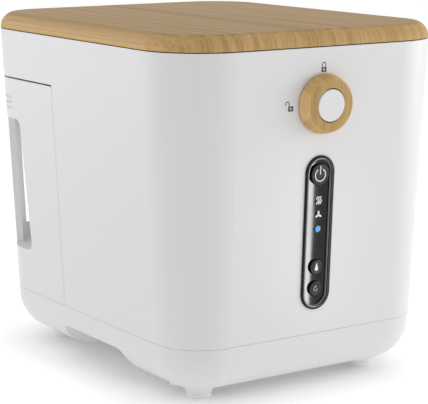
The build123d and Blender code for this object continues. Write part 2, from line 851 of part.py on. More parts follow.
def food_bin():
    """Removable bin: rim with two finger lugs, two breaker fins and a bush seat in its floor."""
    cup = rod(bin_radius, bin_floor_z, bin_rim_low + bin_rim_thickness, 0, bin_y)
    foot = cup.edges().group_by(Axis.Z)[0]
    cup = fillet(foot, bin_foot_round)
    hollow = rod(bin_radius - bin_wall, bin_floor_z + bin_floor, deck_high_z + 10, 0, bin_y)
    hollow = fillet(hollow.edges().group_by(Axis.Z)[0], bin_floor_round)
    rim = rod(bin_radius + bin_rim_width, bin_rim_low, bin_rim_low + bin_rim_thickness, 0, bin_y)
    rim = rim + lug_space(0, bin_rim_low, bin_rim_low + bin_rim_thickness)
    boss = rod(hub_radius + bin_boss_wall, bin_floor_z, bin_floor_z + bush_height, 0, bin_y)
    body = (cup + rim) - hollow + boss
    fin_x = bin_radius - bin_wall / 2
    for side in (1, -1):
        fin = block((side * (arm_reach + fin_gap), side * fin_x),
                    (bin_y - fin_half_width, bin_y + fin_half_width),
                    (bin_floor_z + fin_lift, arm_levels[-1] + fin_rise))
        body = body + fin
    return body - rod(hub_radius, bin_floor_z - 1, bin_floor_z + bush_height + 1, 0, bin_y)


def bin_bush():
    """Bush that the stirrer's shaft turns in."""
    return tube(hub_radius, shaft_radius + running_fit, bin_floor_z, bin_floor_z + bush_height, 0, bin_y)


# ---- Stirrer and drive ----
def stirrer_base_z():
    """Underside of the stirrer's hub."""
    return bin_floor_z + bush_height + soft_gap


def agitator():
    """Cast hub with pitched arms at three levels."""
    body = rod(hub_radius, stirrer_base_z(), hub_high_z, 0, bin_y)
    for index, level in enumerate(arm_levels):
        for half in (0, 180):
            length = arm_reach - hub_radius / 2
            arm = Pos(hub_radius / 2 + length / 2, 0, 0) * Rot(arm_pitch, 0, 0) \
                * Box(length, arm_thickness, arm_height)
            body = body + Pos(0, bin_y, level) * Rot(0, 0, index * arm_turn + half) * arm
    reach = rod(arm_reach, stirrer_base_z(), hub_high_z, 0, bin_y)
    return (body & reach) - rod(shaft_radius, 0, hub_high_z - hub_roof, 0, bin_y)


def coupling_split_z():
    """Top of the driving cup, where the bin's driven cross stops."""
    return heater_low_z - coupling_gap


def cross(reach, low, high):
    """Two crossed bars on the bin's axis."""
    half = cross_width / 2
    bar = block((-reach, reach), (-half, half), (low, high))
    return Pos(0, bin_y, 0) * (bar + Rot(0, 0, 90) * bar)


def agitator_shaft():
    """Stirrer shaft with the driven cross under the bin."""
    low = coupling_split_z()
    shaft = rod(shaft_radius, low + cross_height, hub_high_z - hub_roof, 0, bin_y)
    disc = rod(cross_radius, low + cross_height, bin_floor_z - 1, 0, bin_y)
    return shaft + disc + cross(cross_radius, low, low + cross_height)


def drive_coupling():
    """Driving cup with cross slots on the output shaft."""
    low = coupling_split_z()
    cup = rod(cross_radius + coupling_wall, low - coupling_floor, low + cross_height - 0.5, 0, bin_y)
    slots = cross(cross_radius + 1, low, low + cross_height + 1)
    return cup - slots - rod(shaft_radius, 0, low - 1, 0, bin_y)


def output_shaft():
    """Shaft from the gearbox to the coupling."""
    return rod(shaft_radius, gearbox_low_z + gearbox_wall, coupling_split_z() - 1, 0, bin_y)


def involute_angle(radius, base):
    """Angle that an involute has turned by when it reaches a radius."""
    pressure = acos(min(1.0, base / radius))
    return tan(pressure) - pressure


def gear(teeth, module, low, face, turn):
    """Spur gear whose first tooth points along the given angle."""
    pitch = teeth * module / 2
    base = pitch * cos(radians(pressure_angle))
    tip = pitch + module
    root = pitch - dedendum * module
    half_pitch_angle = pi / (2 * teeth) - gear_backlash / (2 * pitch)
    at_pitch = involute_angle(pitch, base)
    radii = [root, max(base, root + 0.1), (base + pitch) / 2 if base > root else pitch, pitch,
             (pitch + tip) / 2, tip]
    radii = sorted(set(radii))
    points = []
    for index in range(teeth):
        middle = radians(turn) + 2 * pi * index / teeth
        flank = [(r, half_pitch_angle + at_pitch - involute_angle(max(r, base), base)) for r in radii]
        points += [(r * cos(middle - a), r * sin(middle - a)) for r, a in flank]
        points += [(r * cos(middle + a), r * sin(middle + a)) for r, a in reversed(flank)]
    outline = make_face(Polyline(*points, close=True))
    return Pos(0, 0, low) * extrude(outline, amount=face)


def output_gear():
    """Large wheel on the output shaft, thinned between rim and hub."""
    wheel = Pos(0, bin_y, 0) * gear(output_teeth, second_module, second_gear_z, gear_face_high, 0)
    hub = rod(hub_radius, second_gear_z, second_gear_z + gear_face_high, 0, bin_y)
    web = tube(output_teeth * second_module / 2 - web_width, hub_radius, second_gear_z + web_thickness,
               second_gear_z + gear_face_high + 1, 0, bin_y)
    return (wheel - web + hub) - rod(shaft_radius, 0, deck_low_z, 0, bin_y)


def idler_gear():
    """Compound idler: large wheel below, pinion above."""
    wheel = gear(idler_teeth, first_module, first_gear_z, gear_face_low, 0)
    root = (pinion_teeth / 2 - dedendum) * second_module
    join = rod(root - fit_gap, first_gear_z, second_gear_z + gear_face_high)
    pinion = gear(pinion_teeth, second_module, second_gear_z, gear_face_high, 180 + 180 / pinion_teeth)
    blank = wheel + join + pinion
    bore = rod(idler_axle_radius + running_fit, 0, deck_low_z)
    return Pos(idler_x, bin_y, 0) * (blank - bore)


def motor_pinion():
    """Pinion cut on the motor's shaft."""
    pinion = gear(motor_teeth, first_module, first_gear_z, gear_face_low, 180 + 180 / motor_teeth)
    shaft = rod(motor_shaft_radius, gearbox_low_z + soft_gap, first_gear_z + gear_face_low)
    return Pos(motor_x, bin_y, 0) * (pinion + shaft)


def idler_axle():
    """Fixed axle of the idler."""
    return rod(idler_axle_radius, gearbox_low_z, chassis_low_z, idler_x, bin_y)


def gearbox_plan(grow):
    """Outline round the three gear axes."""
    wheels = [
        (0, output_teeth * second_module / 2 + second_module),
        (idler_x, idler_teeth * first_module / 2 + first_module),
        (motor_x, motor_teeth * first_module / 2 + first_module),
    ]
    circles = [Pos(x, bin_y) * Circle(radius + tip_gap + grow) for x, radius in wheels]
    return make_hull(Sketch(children=circles).edges())


def gearbox_housing():
    """Tub round the gears with its screw bosses and the lower bearing's seat."""
    shell = extrude(Plane.XY.offset(gearbox_low_z) * gearbox_plan(gearbox_wall),
                    amount=gearbox_high_z - gearbox_low_z)
    room = extrude(Plane.XY.offset(gearbox_low_z + gearbox_wall) * gearbox_plan(0),
                   amount=gearbox_high_z)
    body = shell - room
    for x, y in gearbox_screw_places():
        body = body + rod(boss_radius, gearbox_low_z, gearbox_high_z, x, y)
        body = body - rod(screw_radius, gearbox_high_z - boss_hole_depth, gearbox_high_z + 1, x, y)
    body = body + rod(bearing_radius + bearing_seat_wall, gearbox_low_z - bearing_height,
                      gearbox_low_z + gearbox_wall, 0, bin_y)
    body = body - rod(bearing_radius, gearbox_low_z + gearbox_wall - bearing_height,
                      gearbox_low_z + gearbox_wall + 1, 0, bin_y)
    body = body - rod(idler_axle_radius, 0, gearbox_high_z, idler_x, bin_y)
    return body - rod(motor_shaft_radius + shaft_clearance, 0, gearbox_high_z, motor_x, bin_y)


def gearbox_screw_places():
    """Bosses on the rim of the gearbox, round the large gear and the idler."""
    seat = tip_gap + gearbox_wall + boss_offset
    large = output_teeth * second_module / 2 + second_module + seat
    small = idler_teeth * first_module / 2 + first_module + seat
    round_large = [(large * cos(radians(a)), bin_y + large * sin(radians(a))) for a in (110, 180, 250)]
    round_small = [(idler_x + small * cos(radians(a)), bin_y + small * sin(radians(a))) for a in (55, -55)]
    return round_large + round_small


def gearbox_cover():
    """Lid of the gearbox, clamped under the chassis plate."""
    cover = extrude(Plane.XY.offset(gearbox_high_z) * gearbox_plan(gearbox_wall), amount=gearbox_wall)
    for x, y in gearbox_screw_places():
        cover = cover + rod(boss_radius, gearbox_high_z, gearbox_high_z + gearbox_wall, x, y)
        cover = cover - rod(screw_radius, 0, chassis_high_z, x, y)
    cover = cover - rod(bearing_radius, 0, chassis_high_z, 0, bin_y)
    return cover - rod(idler_axle_radius, 0, chassis_high_z, idler_x, bin_y)


def output_bearings():
    low_z = gearbox_low_z + gearbox_wall
    bore = shaft_radius + running_fit
    lower = tube(bearing_radius, bore, low_z - bearing_height, low_z, 0, bin_y)
    upper = tube(bearing_radius, bore, gearbox_high_z, gearbox_high_z + bearing_height, 0, bin_y)
    return [lower, upper]


def motor_case():
    """Motor can under the gearbox, with vents and terminals."""
    low = gearbox_low_z - motor_height
    can = rod(motor_radius, low, gearbox_low_z, motor_x, bin_y)
    can = fillet(can.edges().group_by(Axis.Z)[0], motor_round)
    for side in (-1, 1):
        y = bin_y + side * motor_tab_shift
        tab = block((motor_x - 1, motor_x + 1), (y - motor_tab_half, y + motor_tab_half),
                    (low - motor_tab_length, low))
        can = can + tab
    return can - rod(motor_shaft_radius + shaft_clearance, gearbox_low_z - fit_gap, gearbox_low_z + 1,
                     motor_x, bin_y)


def chassis_plate():
    """Steel plate on the tray's posts that carries the heater above and the gearbox below."""
    plate = block((-chassis_half_width, chassis_half_width), (chassis_front_y, chassis_back_y),
                  (chassis_low_z, chassis_high_z))
    plate = fillet(plate.edges().filter_by(Axis.Z), chassis_corner)
    plate = plate - rod(drive_bore, 0, deck_low_z, 0, bin_y)
    for x, y in post_places() + gearbox_screw_places():
        plate = plate - rod(screw_radius, 0, deck_low_z, x, y)
    for x, y in standoff_places():
        plate = plate + rod(standoff_radius, chassis_low_z, heater_low_z, x, y)
    return plate - rod(idler_axle_radius, 0, chassis_high_z + 1, idler_x, bin_y)


def chassis_screws():
    """Screws through the plate into the tray's posts, and through plate and cover into the gearbox."""
    head_z = chassis_high_z + screw_head_height
    places = post_places() + gearbox_screw_places()
    return [screw(head_z, x, y, up=False, length=chassis_screw_length) for x, y in places]


# ---- Lid ----
def lid_board():
    """Wooden board whose edge rounds in to the top face."""
    sweep = 2 * atan(lid_edge_inset / lid_thickness)
    edge_radius = lid_thickness / sin(sweep)
    sections = []
    for index in range(lid_edge_steps + 1):
        angle = sweep * index / lid_edge_steps
        inset = edge_radius * (1 - cos(angle))
        outline = RectangleRounded(body_width - 2 * inset, body_depth - 2 * inset, corner_radius - inset)
        sections.append(Plane.XY.offset(lid_seat_z + edge_radius * sin(angle)) * outline)
    board = loft(sections, ruled=True)
    for x, y in lid_screw_places() + leaf_screw_places():
        board = board - rod(screw_radius, lid_seat_z - 1, lid_seat_z + board_screw_depth, x, y)
    return board


def lid_screw_places():
    """Screws of the liner."""
    return [(sx * x, y) for sx in (1, -1) for x, y in lid_screw_sites]


def leaf_screw_places():
    """Screws of the lid leaves."""
    y = rear_pivot_y - lid_leaf_reach + leaf_screw_inset
    shifts = (-leaf_screw_shift, leaf_screw_shift)
    return [(side * hinge_x + shift, y) for side in (1, -1) for shift in shifts]


def leaf_room():
    """Space in the liner for the lid leaves."""
    half = lid_leaf_half_width + 0.5
    room = block((hinge_x - half, hinge_x + half), (rear_pivot_y - lid_leaf_reach - 1, body_depth),
                 (lid_seat_z - leaf_thickness - screw_head_height - 0.5, lid_seat_z + 1))
    return both_sides(room)


def lid_liner():
    """Hollow tray under the board with air slots over the bin and an outlet over the duct."""
    inset = liner_margin - lean(lid_seat_z)
    outer = extrude(plan_face(lid_seat_z, inset), amount=-liner_depth)
    room = extrude(plan_face(lid_seat_z + 1, inset + liner_wall), amount=-(liner_depth - liner_wall + 1))
    liner = outer - room
    for x, y in lid_screw_places():
        liner = liner + rod(liner_boss_radius, liner_low_z, lid_seat_z, x, y)
        liner = liner - screw_room(liner_low_z, x, y, length=lid_screw_length)
    for room in leaf_room():
        solid_pad = room & extrude(plan_face(lid_seat_z, inset), amount=-liner_depth)
        liner = liner - solid_pad
    for index in range(air_slot_count):
        slot = extrude(SlotOverall(air_slot_length, air_slot_width), amount=liner_depth)
        turn = 360 * index / air_slot_count
        liner = liner - Pos(0, bin_y, liner_low_z - 1) * Rot(0, 0, turn) * Pos(air_slot_ring, 0, 0) * slot
    return liner - duct_hollow(liner_low_z - 1, liner_low_z + liner_wall + 0.5)


def lid_screws():
    """Screws that hold the liner."""
    return [screw(liner_low_z, x, y, length=lid_screw_length) for x, y in lid_screw_places()]


def lid_gasket():
    """Soft ring over the bin's rim."""
    middle = bin_radius + bin_rim_width / 2
    low = bin_rim_low + bin_rim_thickness + soft_gap
    return tube(middle + gasket_width / 2, middle - gasket_width / 2, low, liner_low_z, 0, bin_y)


def lid_strike():
    """Hook that hangs from the liner through the deck."""
    centre_y = front_y(knob_z + latch_reach) + latch_depth + latch_thickness / 2
    y_span = (centre_y - strike_half_depth, centre_y + strike_half_depth)
    bar_high = knob_z + latch_reach - finger_height - hook_gap
    bar_low = bar_high - strike_bar_height
    leg = block(strike_leg, y_span, (bar_low, liner_low_z))
    bar = block(strike_arm, y_span, (bar_low, bar_high))
    pad = block(strike_pad, (y_span[0], centre_y + 2 * strike_half_depth),
                (liner_low_z - strike_pad_thickness, liner_low_z))
    return leg + bar + pad


# ---- Hinges ----
def hinge_barrel(centre_x, length, bore):
    """Knuckle on the hinge axis."""
    return hinge_axis(centre_x) * (Cylinder(knuckle_radius, length) - Cylinder(bore, length + 2))


def hinge_lid_leaves():
    """Leaves under the lid, each with one knuckle."""
    leaves = []
    for side in (1, -1):
        x = side * hinge_x
        half = lid_knuckle_length / 2
        barrel = hinge_barrel(x, lid_knuckle_length, hinge_pin_radius + running_fit)
        pad = block((x - lid_leaf_half_width, x + lid_leaf_half_width),
                    (rear_pivot_y - lid_leaf_reach, body_depth / 2 - wall - 6),
                    (lid_seat_z - leaf_thickness, lid_seat_z))
        neck = block((x - half, x + half), (rear_pivot_y - lid_leaf_reach, rear_pivot_y),
                     (lid_seat_z - leaf_thickness, lid_seat_z))
        pin = Pos(x, rear_pivot_y, pivot_z) * Rot(0, 90, 0) * Cylinder(hinge_pin_radius + running_fit, 40)
        leaf = barrel + pad + neck - pin
        for screw_x, screw_y in leaf_screw_places():
            leaf = leaf - rod(screw_radius, 0, lid_seat_z + 1, screw_x, screw_y)
        leaves.append(leaf)
    return leaves


def hinge_axis(x):
    """Frame on the hinge axis with its z along the axis."""
    return Pos(x, rear_pivot_y, pivot_z) * Rot(0, 90, 0)


def hinge_body_leaf(x):
    """Plate on the rear face with a knuckle at each end."""
    casing = body_block(shell_low_z, lid_seat_z + knuckle_radius)
    near = lid_knuckle_length / 2 + knuckle_gap
    far = near + knuckle_length
    leaf = block((x - far, x + far), (body_depth / 2 - wall, body_depth / 2 + leaf_thickness),
                 (pivot_z - body_leaf_height, pivot_z))
    leaf = leaf - block((x - near, x + near), (0, body_depth), (pivot_z - knuckle_radius - 2, lid_seat_z))
    for side in (-1, 1):
        leaf = leaf + block((x + side * near, x + side * far), (body_depth / 2, rear_pivot_y),
                            (pivot_z - knuckle_radius, pivot_z))
    leaf = leaf - casing
    for side in (-1, 1):
        leaf = leaf + hinge_barrel(x + side * (near + far) / 2, knuckle_length, hinge_pin_radius)
    leaf = leaf - hinge_axis(x) * Cylinder(hinge_pin_radius, 2 * far)
    for screw_x, z in body_leaf_screw_places():
        leaf = leaf - rear_screw_shank(screw_x, z)
    return leaf


def hinge_body_leaves():
    """Both body leaves."""
    return [hinge_body_leaf(side * hinge_x) for side in (1, -1)]


def body_leaf_screw_places():
    """Screws of the body leaves."""
    shifts = (-case_screw_shift, case_screw_shift)
    return [(side * hinge_x + shift, pivot_z - case_screw_drop) for side in (1, -1) for shift in shifts]


def rear_screw_shank(x, z):
    """Shank through the body leaf and the rear skin."""
    return Pos(x, body_depth / 2 - leaf_thickness, z) * Rot(90, 0, 0) * Cylinder(screw_radius, screw_length)


def hinge_pins():
    """Pins through the knuckles."""
    length = lid_knuckle_length + 2 * (knuckle_gap + knuckle_length)
    return both_sides(hinge_axis(hinge_x) * Cylinder(hinge_pin_radius, length))


def hinge_case_screws():
    """Screws of the body leaves."""
    screws = []
    for x, z in body_leaf_screw_places():
        middle_y = body_depth / 2 + leaf_thickness + screw_head_height / 2
        head = Pos(x, middle_y, z) * Rot(90, 0, 0) * Cylinder(screw_head_radius, screw_head_height)
        screws.append(head + rear_screw_shank(x, z))
    return screws


def hinge_leaf_screws():
    """Screws of the lid leaves."""
    head_z = lid_seat_z - leaf_thickness - screw_head_height
    return [screw(head_z, x, y, length=leaf_thickness + leaf_screw_bite) for x, y in leaf_screw_places()]


# ---- Knob and latch ----
def between(start, end, bow):
    """Point halfway from start to end, moved out to the right of the way there."""
    x = end[0] - start[0]
    z = end[1] - start[1]
    length = sqrt(x ** 2 + z ** 2)
    return ((start[0] + end[0]) / 2 + bow * z / length, (start[1] + end[1]) / 2 - bow * x / length)


def knob_ring():
    """Wooden ring with a nearly straight side and a rounded shoulder."""
    with BuildPart() as ring:
        with BuildSketch(Plane.XZ):
            with BuildLine():
                start = (knob_eye_radius, knob_lift)
                foot = (knob_radius - knob_foot_step, knob_lift)
                widest = (knob_radius, knob_widest)
                side = (knob_radius - knob_side_step, knob_depth - knob_side_drop)
                crown = (knob_radius - knob_crown_step, knob_depth - knob_crown_drop)
                lip = (knob_eye_radius + knob_lip_step, knob_depth)
                Line(start, foot)
                ThreePointArc(foot, between(foot, widest, knob_foot_bow), widest)
                ThreePointArc(widest, between(widest, side, knob_side_bow), side)
                ThreePointArc(side, between(side, crown, knob_edge_bow), crown)
                ThreePointArc(crown, between(crown, lip, knob_face_bow), lip)
                eye = (knob_eye_radius, knob_depth - knob_eye_drop)
                ThreePointArc(lip, (knob_eye_radius + 0.35, knob_depth - 0.4), eye)
                Line(eye, start)
            make_face()
        revolve(axis=Axis.Z)
    seat = rod(hub_flange_radius + fit_gap, 0, knob_lift + hub_flange_thickness + soft_gap / 3)
    return front_frame(knob_z) * (ring.part - seat)


def knob_hub():
    """Dark carrier: flange behind the ring and a sleeve for the cap."""
    flange_high = knob_lift + hub_flange_thickness
    hub = rod(hub_flange_radius, knob_lift, flange_high)
    hub = hub + rod(knob_eye_radius - fit_gap, flange_high, knob_depth - hub_top_drop)
    hub = hub - rod(cap_radius - hub_seat_wall, knob_depth - hub_seat_drop, knob_depth)
    return front_frame(knob_z) * (hub - rod(spindle_radius, 0, knob_depth - hub_seat_drop + 1))


def knob_cap():
    """White disc with a plug that drops into the hub."""
    disc = rod(cap_radius, knob_depth - cap_thickness, knob_depth)
    disc = fillet(disc.edges().group_by(Axis.Z)[-1], cap_round)
    plug = rod(cap_radius - cap_plug_wall, knob_depth - hub_seat_drop, knob_depth - cap_thickness + 0.4)
    return front_frame(knob_z) * (disc + plug)


def latch_low():
    """Rear face of the latch."""
    return -(latch_depth + latch_thickness)


def knob_spindle():
    """Spindle with a riveted head behind the latch."""
    body = rod(spindle_radius, latch_low(), knob_depth - hub_seat_drop - fit_gap)
    rivet = rod(spindle_radius + rivet_width, latch_low() - rivet_height, latch_low())
    return front_frame(knob_z) * (body + rivet)


def knob_bush():
    """Flanged bush in the casing that the spindle turns in."""
    flange = rod(bush_flange_radius, 0, 3 * fit_gap)
    sleeve = rod(bush_radius, -wall - 2, 0)
    return front_frame(knob_z) * (flange + sleeve - rod(spindle_radius + running_fit, -10, 10))


def latch_cam():
    """Arm that points left at rest and swings up over the strike's bar."""
    thickness = (latch_low(), -latch_depth)
    arm = block(latch_arm, (0, latch_reach), thickness)
    finger = block((latch_arm[0], latch_finger_end), (latch_reach - finger_height, latch_reach), thickness)
    hub = rod(latch_hub_radius, *thickness)
    locked = arm + finger + hub - rod(spindle_radius, latch_low() - 1, 0)
    return front_frame(knob_z) * Rot(0, 0, 90) * locked


# ---- Control panel ----
def on_face(z):
    """Distance up the front face from the panel's centre to height z."""
    return (z - panel_z) / cos(radians(draft_angle))


def control_bezel():
    """Capsule rim with a skirt through the casing."""
    flange = capsule(bezel_length, bezel_width, 0, bezel_proud)
    flange = fillet(flange.edges().group_by(Axis.Z)[-1], bezel_round)
    skirt = 2 * bezel_skirt_step
    body = capsule(bezel_length - skirt, bezel_width - skirt, -bezel_depth, 0)
    rims = 2 * bezel_rim
    bore = capsule(bezel_length - rims, bezel_width - rims, -bezel_depth - 1, bezel_proud + 1)
    bezel = flange + body - bore
    return front_frame(panel_z) * bezel


def button_sites():
    """Place up the face and radius of each button."""
    return {
        "power_button": (on_face(power_z), power_radius),
        "drop_button": (on_face(drop_z), lower_button_radius),
        "timer_button": (on_face(timer_z), lower_button_radius),
    }


def control_panel():
    """Glossy plate in the bezel with holes for buttons and lamps."""
    gap = 2 * (bezel_rim + fit_gap / 2)
    plate = capsule(bezel_length - gap, bezel_width - gap, -panel_recess - panel_thickness, -panel_recess)
    for place, radius in button_sites().values():
        plate = plate - Pos(0, place, 0) * stud(radius + button_gap, -10, 10)
    for z in lamp_zs:
        plate = plate - Pos(0, on_face(z), 0) * stud(lamp_radius + lamp_gap, -10, 10)
    return front_frame(panel_z) * plate


def push_button(place, radius):
    """Button cap with a stem towards its switch."""
    top = button_proud - panel_recess
    cap = stud(radius, -panel_recess - panel_thickness, top)
    cap = fillet(cap.edges().group_by(Axis.Z)[-1], button_round)
    low = -panel_recess - panel_thickness
    return front_frame(panel_z) * Pos(0, place, 0) * (cap + stud(stem_radius, low - stem_length, low))


def lamp(z):
    """Light pipe from the board to just under the panel's face."""
    pipe = stud(lamp_radius, -board_depth + emitter_height + fit_gap, -panel_recess - lamp_drop)
    return front_frame(panel_z) * Pos(0, on_face(z), 0) * pipe


def board_low():
    """Rear face of the control board."""
    return -(board_depth + board_thickness)


def board_posts():
    """Places of the two board screws, up and down the face."""
    reach = bezel_length / 2 - board_screw_inset
    return (reach, -reach)


def control_board():
    """Board with its chips, lamps' emitters and a switch behind each button."""
    length = bezel_length - 2 * board_end_gap
    board = capsule(length, board_width, board_low(), -board_depth)
    emitter_span = (-emitter_half, emitter_half)
    emitter = block(emitter_span, emitter_span, (-board_depth, -board_depth + emitter_height))
    for z in lamp_zs:
        board = board + Pos(0, on_face(z), 0) * emitter
    chip = block((-chip_half_width, chip_half_width), (-chip_half_length, chip_half_length),
                 (board_low() - chip_thickness, board_low()))
    for place in chip_places:
        board = board + Pos(0, place, 0) * chip
    for place in board_posts():
        board = board - Pos(0, place, 0) * stud(screw_radius, -30, 10)
    half = switch_size / 2
    stem_end = -panel_recess - panel_thickness - stem_length
    for place, radius in button_sites().values():
        switch = block((-half, half), (-half, half), (-board_depth, -board_depth + switch_height))
        plunger = stud(plunger_radius, -board_depth, stem_end - button_travel - fit_gap)
        board = board + Pos(0, place, 0) * (switch + plunger)
    return front_frame(panel_z) * board


def board_pillars():
    """Pillars and screws that hold the board to the bezel's back."""
    parts = []
    for place in board_posts():
        pillar = stud(screw_radius + pillar_wall, -board_depth, -bezel_depth)
        shank = stud(screw_radius, board_low(), -board_depth)
        head = stud(screw_head_radius, board_low() - pillar_wall, board_low())
        parts.append(front_frame(panel_z) * Pos(0, place, 0) * (pillar + shank + head))
    return parts


# ---- Filter drawer ----
def sector_plan(inner_angle, outer_angle, reach):
    """Wedge from the rear corner's centre, with angles measured from the side towards the back."""
    first = (corner_x + reach * cos(radians(inner_angle)), corner_y + reach * sin(radians(inner_angle)))
    last = (corner_x + reach * cos(radians(outer_angle)), corner_y + reach * sin(radians(outer_angle)))
    return make_face(Polyline((corner_x, corner_y), first, last, close=True))


def prism(outline, low, high):
    """Upright block over an outline."""
    return extrude(Plane.XY.offset(low) * outline, amount=high - low)


def grip_space(grow):
    """L-shaped pocket behind the right-hand grip."""
    side_x = body_width / 2 - grip_depth - grow
    rear_y = body_depth / 2 - grip_depth - grow
    z_span = (grip_low_z - grow, grip_high_z + grow)
    along_side = block((side_x, body_width), (grip_front_y - grow, body_depth), z_span)
    along_rear = block((grip_inner_x - grow, body_width), (rear_y, body_depth), z_span)
    return along_side + along_rear


def grip_post():
    """Upright bar that is left at the corner between the two windows."""
    band = ring_wall(grip_low_z - 1, grip_high_z + 1, 0, grip_post_depth)
    sector = sector_plan(45 - grip_post_half_angle, 45 + grip_post_half_angle, 2 * corner_radius)
    return band & prism(sector, grip_low_z - 1, grip_high_z + 1)


def grip_windows():
    """Side window and rear window of the right-hand grip."""
    far = 2 * corner_radius
    side_angle = radians(45 - grip_post_half_angle)
    rear_angle = radians(45 + grip_post_half_angle)
    side_tip = (corner_x + far * cos(side_angle), corner_y + far * sin(side_angle))
    rear_tip = (corner_x + far * cos(rear_angle), corner_y + far * sin(rear_angle))
    side_plan = make_face(Polyline((corner_x, corner_y), side_tip, (side_tip[0], grip_front_y),
                                   (corner_x, grip_front_y), close=True))
    rear_plan = make_face(Polyline((corner_x, corner_y), rear_tip, (grip_inner_x, rear_tip[1]),
                                   (grip_inner_x, corner_y), close=True))
    tilted = Pos(0, grip_front_y, grip_low_z) * Rot(-grip_front_tilt, 0, 0) * block(
        (0, body_width), (0, body_depth), (-body_depth, body_depth))
    side = prism(side_plan, grip_low_z, grip_high_z) & tilted
    side = fillet(side.edges().filter_by(Axis.X).sort_by(Axis.Y)[:2], grip_round)
    rear = prism(rear_plan, grip_sill_z, grip_head_z)
    rear = fillet(rear.edges().filter_by(Axis.Y).group_by(Axis.X)[0], grip_round)
    skin = ring_wall(grip_low_z - 1, grip_high_z + 1, -1, wall + 1.2)
    return side & skin, rear & skin


def drawer_region(z_low, z_high, front):
    """Part of the body behind a plane."""
    return block((-body_width, body_width), (front, body_depth), (z_low, z_high))


def vent_cutters():
    """Rows of slots round the back, broken by ribs."""
    cutters = []
    ribs = []
    count = int(corner_x // vent_pitch) + 1
    for index in range(-count, count + 1):
        x = index * vent_pitch
        ribs.append(block((x - vent_rib / 2, x + vent_rib / 2), (corner_y, body_depth), (0, lid_seat_z)))
    for side in (1, -1):
        for turn in vent_rib_turns:
            rib = Pos(side * corner_x, corner_y, 0) * Rot(0, 0, side * turn if side > 0 else 180 - turn) \
                * block((0, 2 * corner_radius), (-vent_rib / 2, vent_rib / 2), (0, lid_seat_z))
            ribs.append(rib)
    for z in vent_zs:
        band = ring_wall(z - vent_height / 2, z + vent_height / 2, -2, wall + 3)
        band = band & drawer_region(0, lid_seat_z, vent_start_y)
        for rib in ribs:
            band = band - rib
        cutters.append(band)
    return cutters


def drawer_form():
    """Outer form of the drawer."""
    return body_block(drawer_low_z, drawer_top_z) & drawer_region(drawer_low_z, drawer_top_z, drawer_face_y)


def drawer_room():
    """Room inside the drawer, open at the top."""
    low = drawer_low_z + wall
    high = drawer_top_z + 1
    return body_block(low, high, wall) & drawer_region(low, high, drawer_face_y + wall)


def drawer_shell():
    """Open-topped tub with its grips, vent rows, runner grooves, air port and lower skirt."""
    body = drawer_form()
    room = drawer_room()
    for pocket in both_sides(grip_space(wall)):
        room = room - pocket
    body = body - room
    clip = body_block(drawer_low_z, drawer_top_z, wall)
    hollow = (grip_space(0) & clip) - grip_post()
    for cutter in both_sides(hollow):
        body = body - cutter
    for window in grip_windows():
        for cutter in both_sides(window):
            body = body - cutter
    for post in both_sides(grip_post()):
        body = body + post
    skirt_high_z = drawer_low_z + wall
    skirt = ring_wall(shell_low_z, skirt_high_z, 0, wall)
    body = body + (skirt & drawer_region(shell_low_z, skirt_high_z, drawer_face_y))
    for cutter in vent_cutters():
        body = body - cutter
    low_y, high_y = runner_span()
    half = runner_width / 2 + wall + runner_gap
    for side in (1, -1):
        x = side * runner_x
        rib = block((x - half, x + half), (drawer_face_y, high_y + 2),
                    (drawer_low_z, drawer_low_z + runner_height + wall))
        body = body + rib
        body = body - block((x - runner_width / 2 - runner_gap, x + runner_width / 2 + runner_gap),
                            (drawer_face_y - 1, high_y + runner_gap),
                            (bay_deck_z, bay_deck_z + runner_height + runner_gap))
    return body - port_space(drawer_face_y - 1, drawer_face_y + wall + 1)


def filter_floor_z():
    """Underside of the filter cartridges."""
    return drawer_low_z + runner_height + wall + soft_gap


def filter_case():
    """Open-topped cartridge with a slotted floor, at the right."""
    half_x = filter_width / 2
    low_z = filter_floor_z()
    y_span = (filter_y - filter_length / 2, filter_y + filter_length / 2)
    case = block((filter_x - half_x, filter_x + half_x), y_span, (low_z, low_z + filter_height))
    case = fillet(case.edges().filter_by(Axis.Z), filter_corner)
    room = block((filter_x - half_x + filter_wall, filter_x + half_x - filter_wall),
                 (y_span[0] + filter_wall, y_span[1] - filter_wall),
                 (low_z + filter_wall, low_z + filter_height + 1))
    case = case - fillet(room.edges().filter_by(Axis.Z), filter_corner - filter_wall)
    return case - grid_slots(low_z - 1, low_z + filter_wall + 1)


def grid_slots(low, high):
    """Comb of slots over a cartridge's plan."""
    count = int((filter_width - 2 * grid_pitch) // grid_pitch)
    reach = filter_length / 2 - grid_margin
    slots = []
    for index in range(count):
        x = filter_x + (index - (count - 1) / 2) * grid_pitch
        slots.append(block((x - grid_slot / 2, x + grid_slot / 2), (filter_y - reach, filter_y + reach),
                           (low, high)))
    return merge(slots)


def bed_block(low, high):
    """Block that drops into a cartridge."""
    half_x = filter_width / 2 - filter_wall - fit_gap
    half_y = filter_length / 2 - filter_wall - fit_gap
    bed = block((filter_x - half_x, filter_x + half_x), (filter_y - half_y, filter_y + half_y), (low, high))
    return fillet(bed.edges().filter_by(Axis.Z), filter_corner - filter_wall - fit_gap)


def grid_low_z():
    """Underside of the cartridge's grid."""
    return filter_floor_z() + filter_height - grid_drop


def carbon_bed():
    """Charcoal block in a cartridge."""
    return bed_block(filter_floor_z() + filter_wall, grid_low_z())


def filter_grid():
    """Slotted lid that rests on the carbon bed, inside the cartridge."""
    grid = bed_block(grid_low_z(), grid_low_z() + grid_thickness)
    return grid - grid_slots(grid_low_z() - 1, grid_low_z() + grid_thickness + 1)


# ---- Fan and ducts ----
def duct_hollow(low, high):
    """Square air way over the fan."""
    half = fan_size / 2 - duct_margin
    return block((fan_x - half, fan_x + half), (fan_y - half, fan_y + half), (low, high))


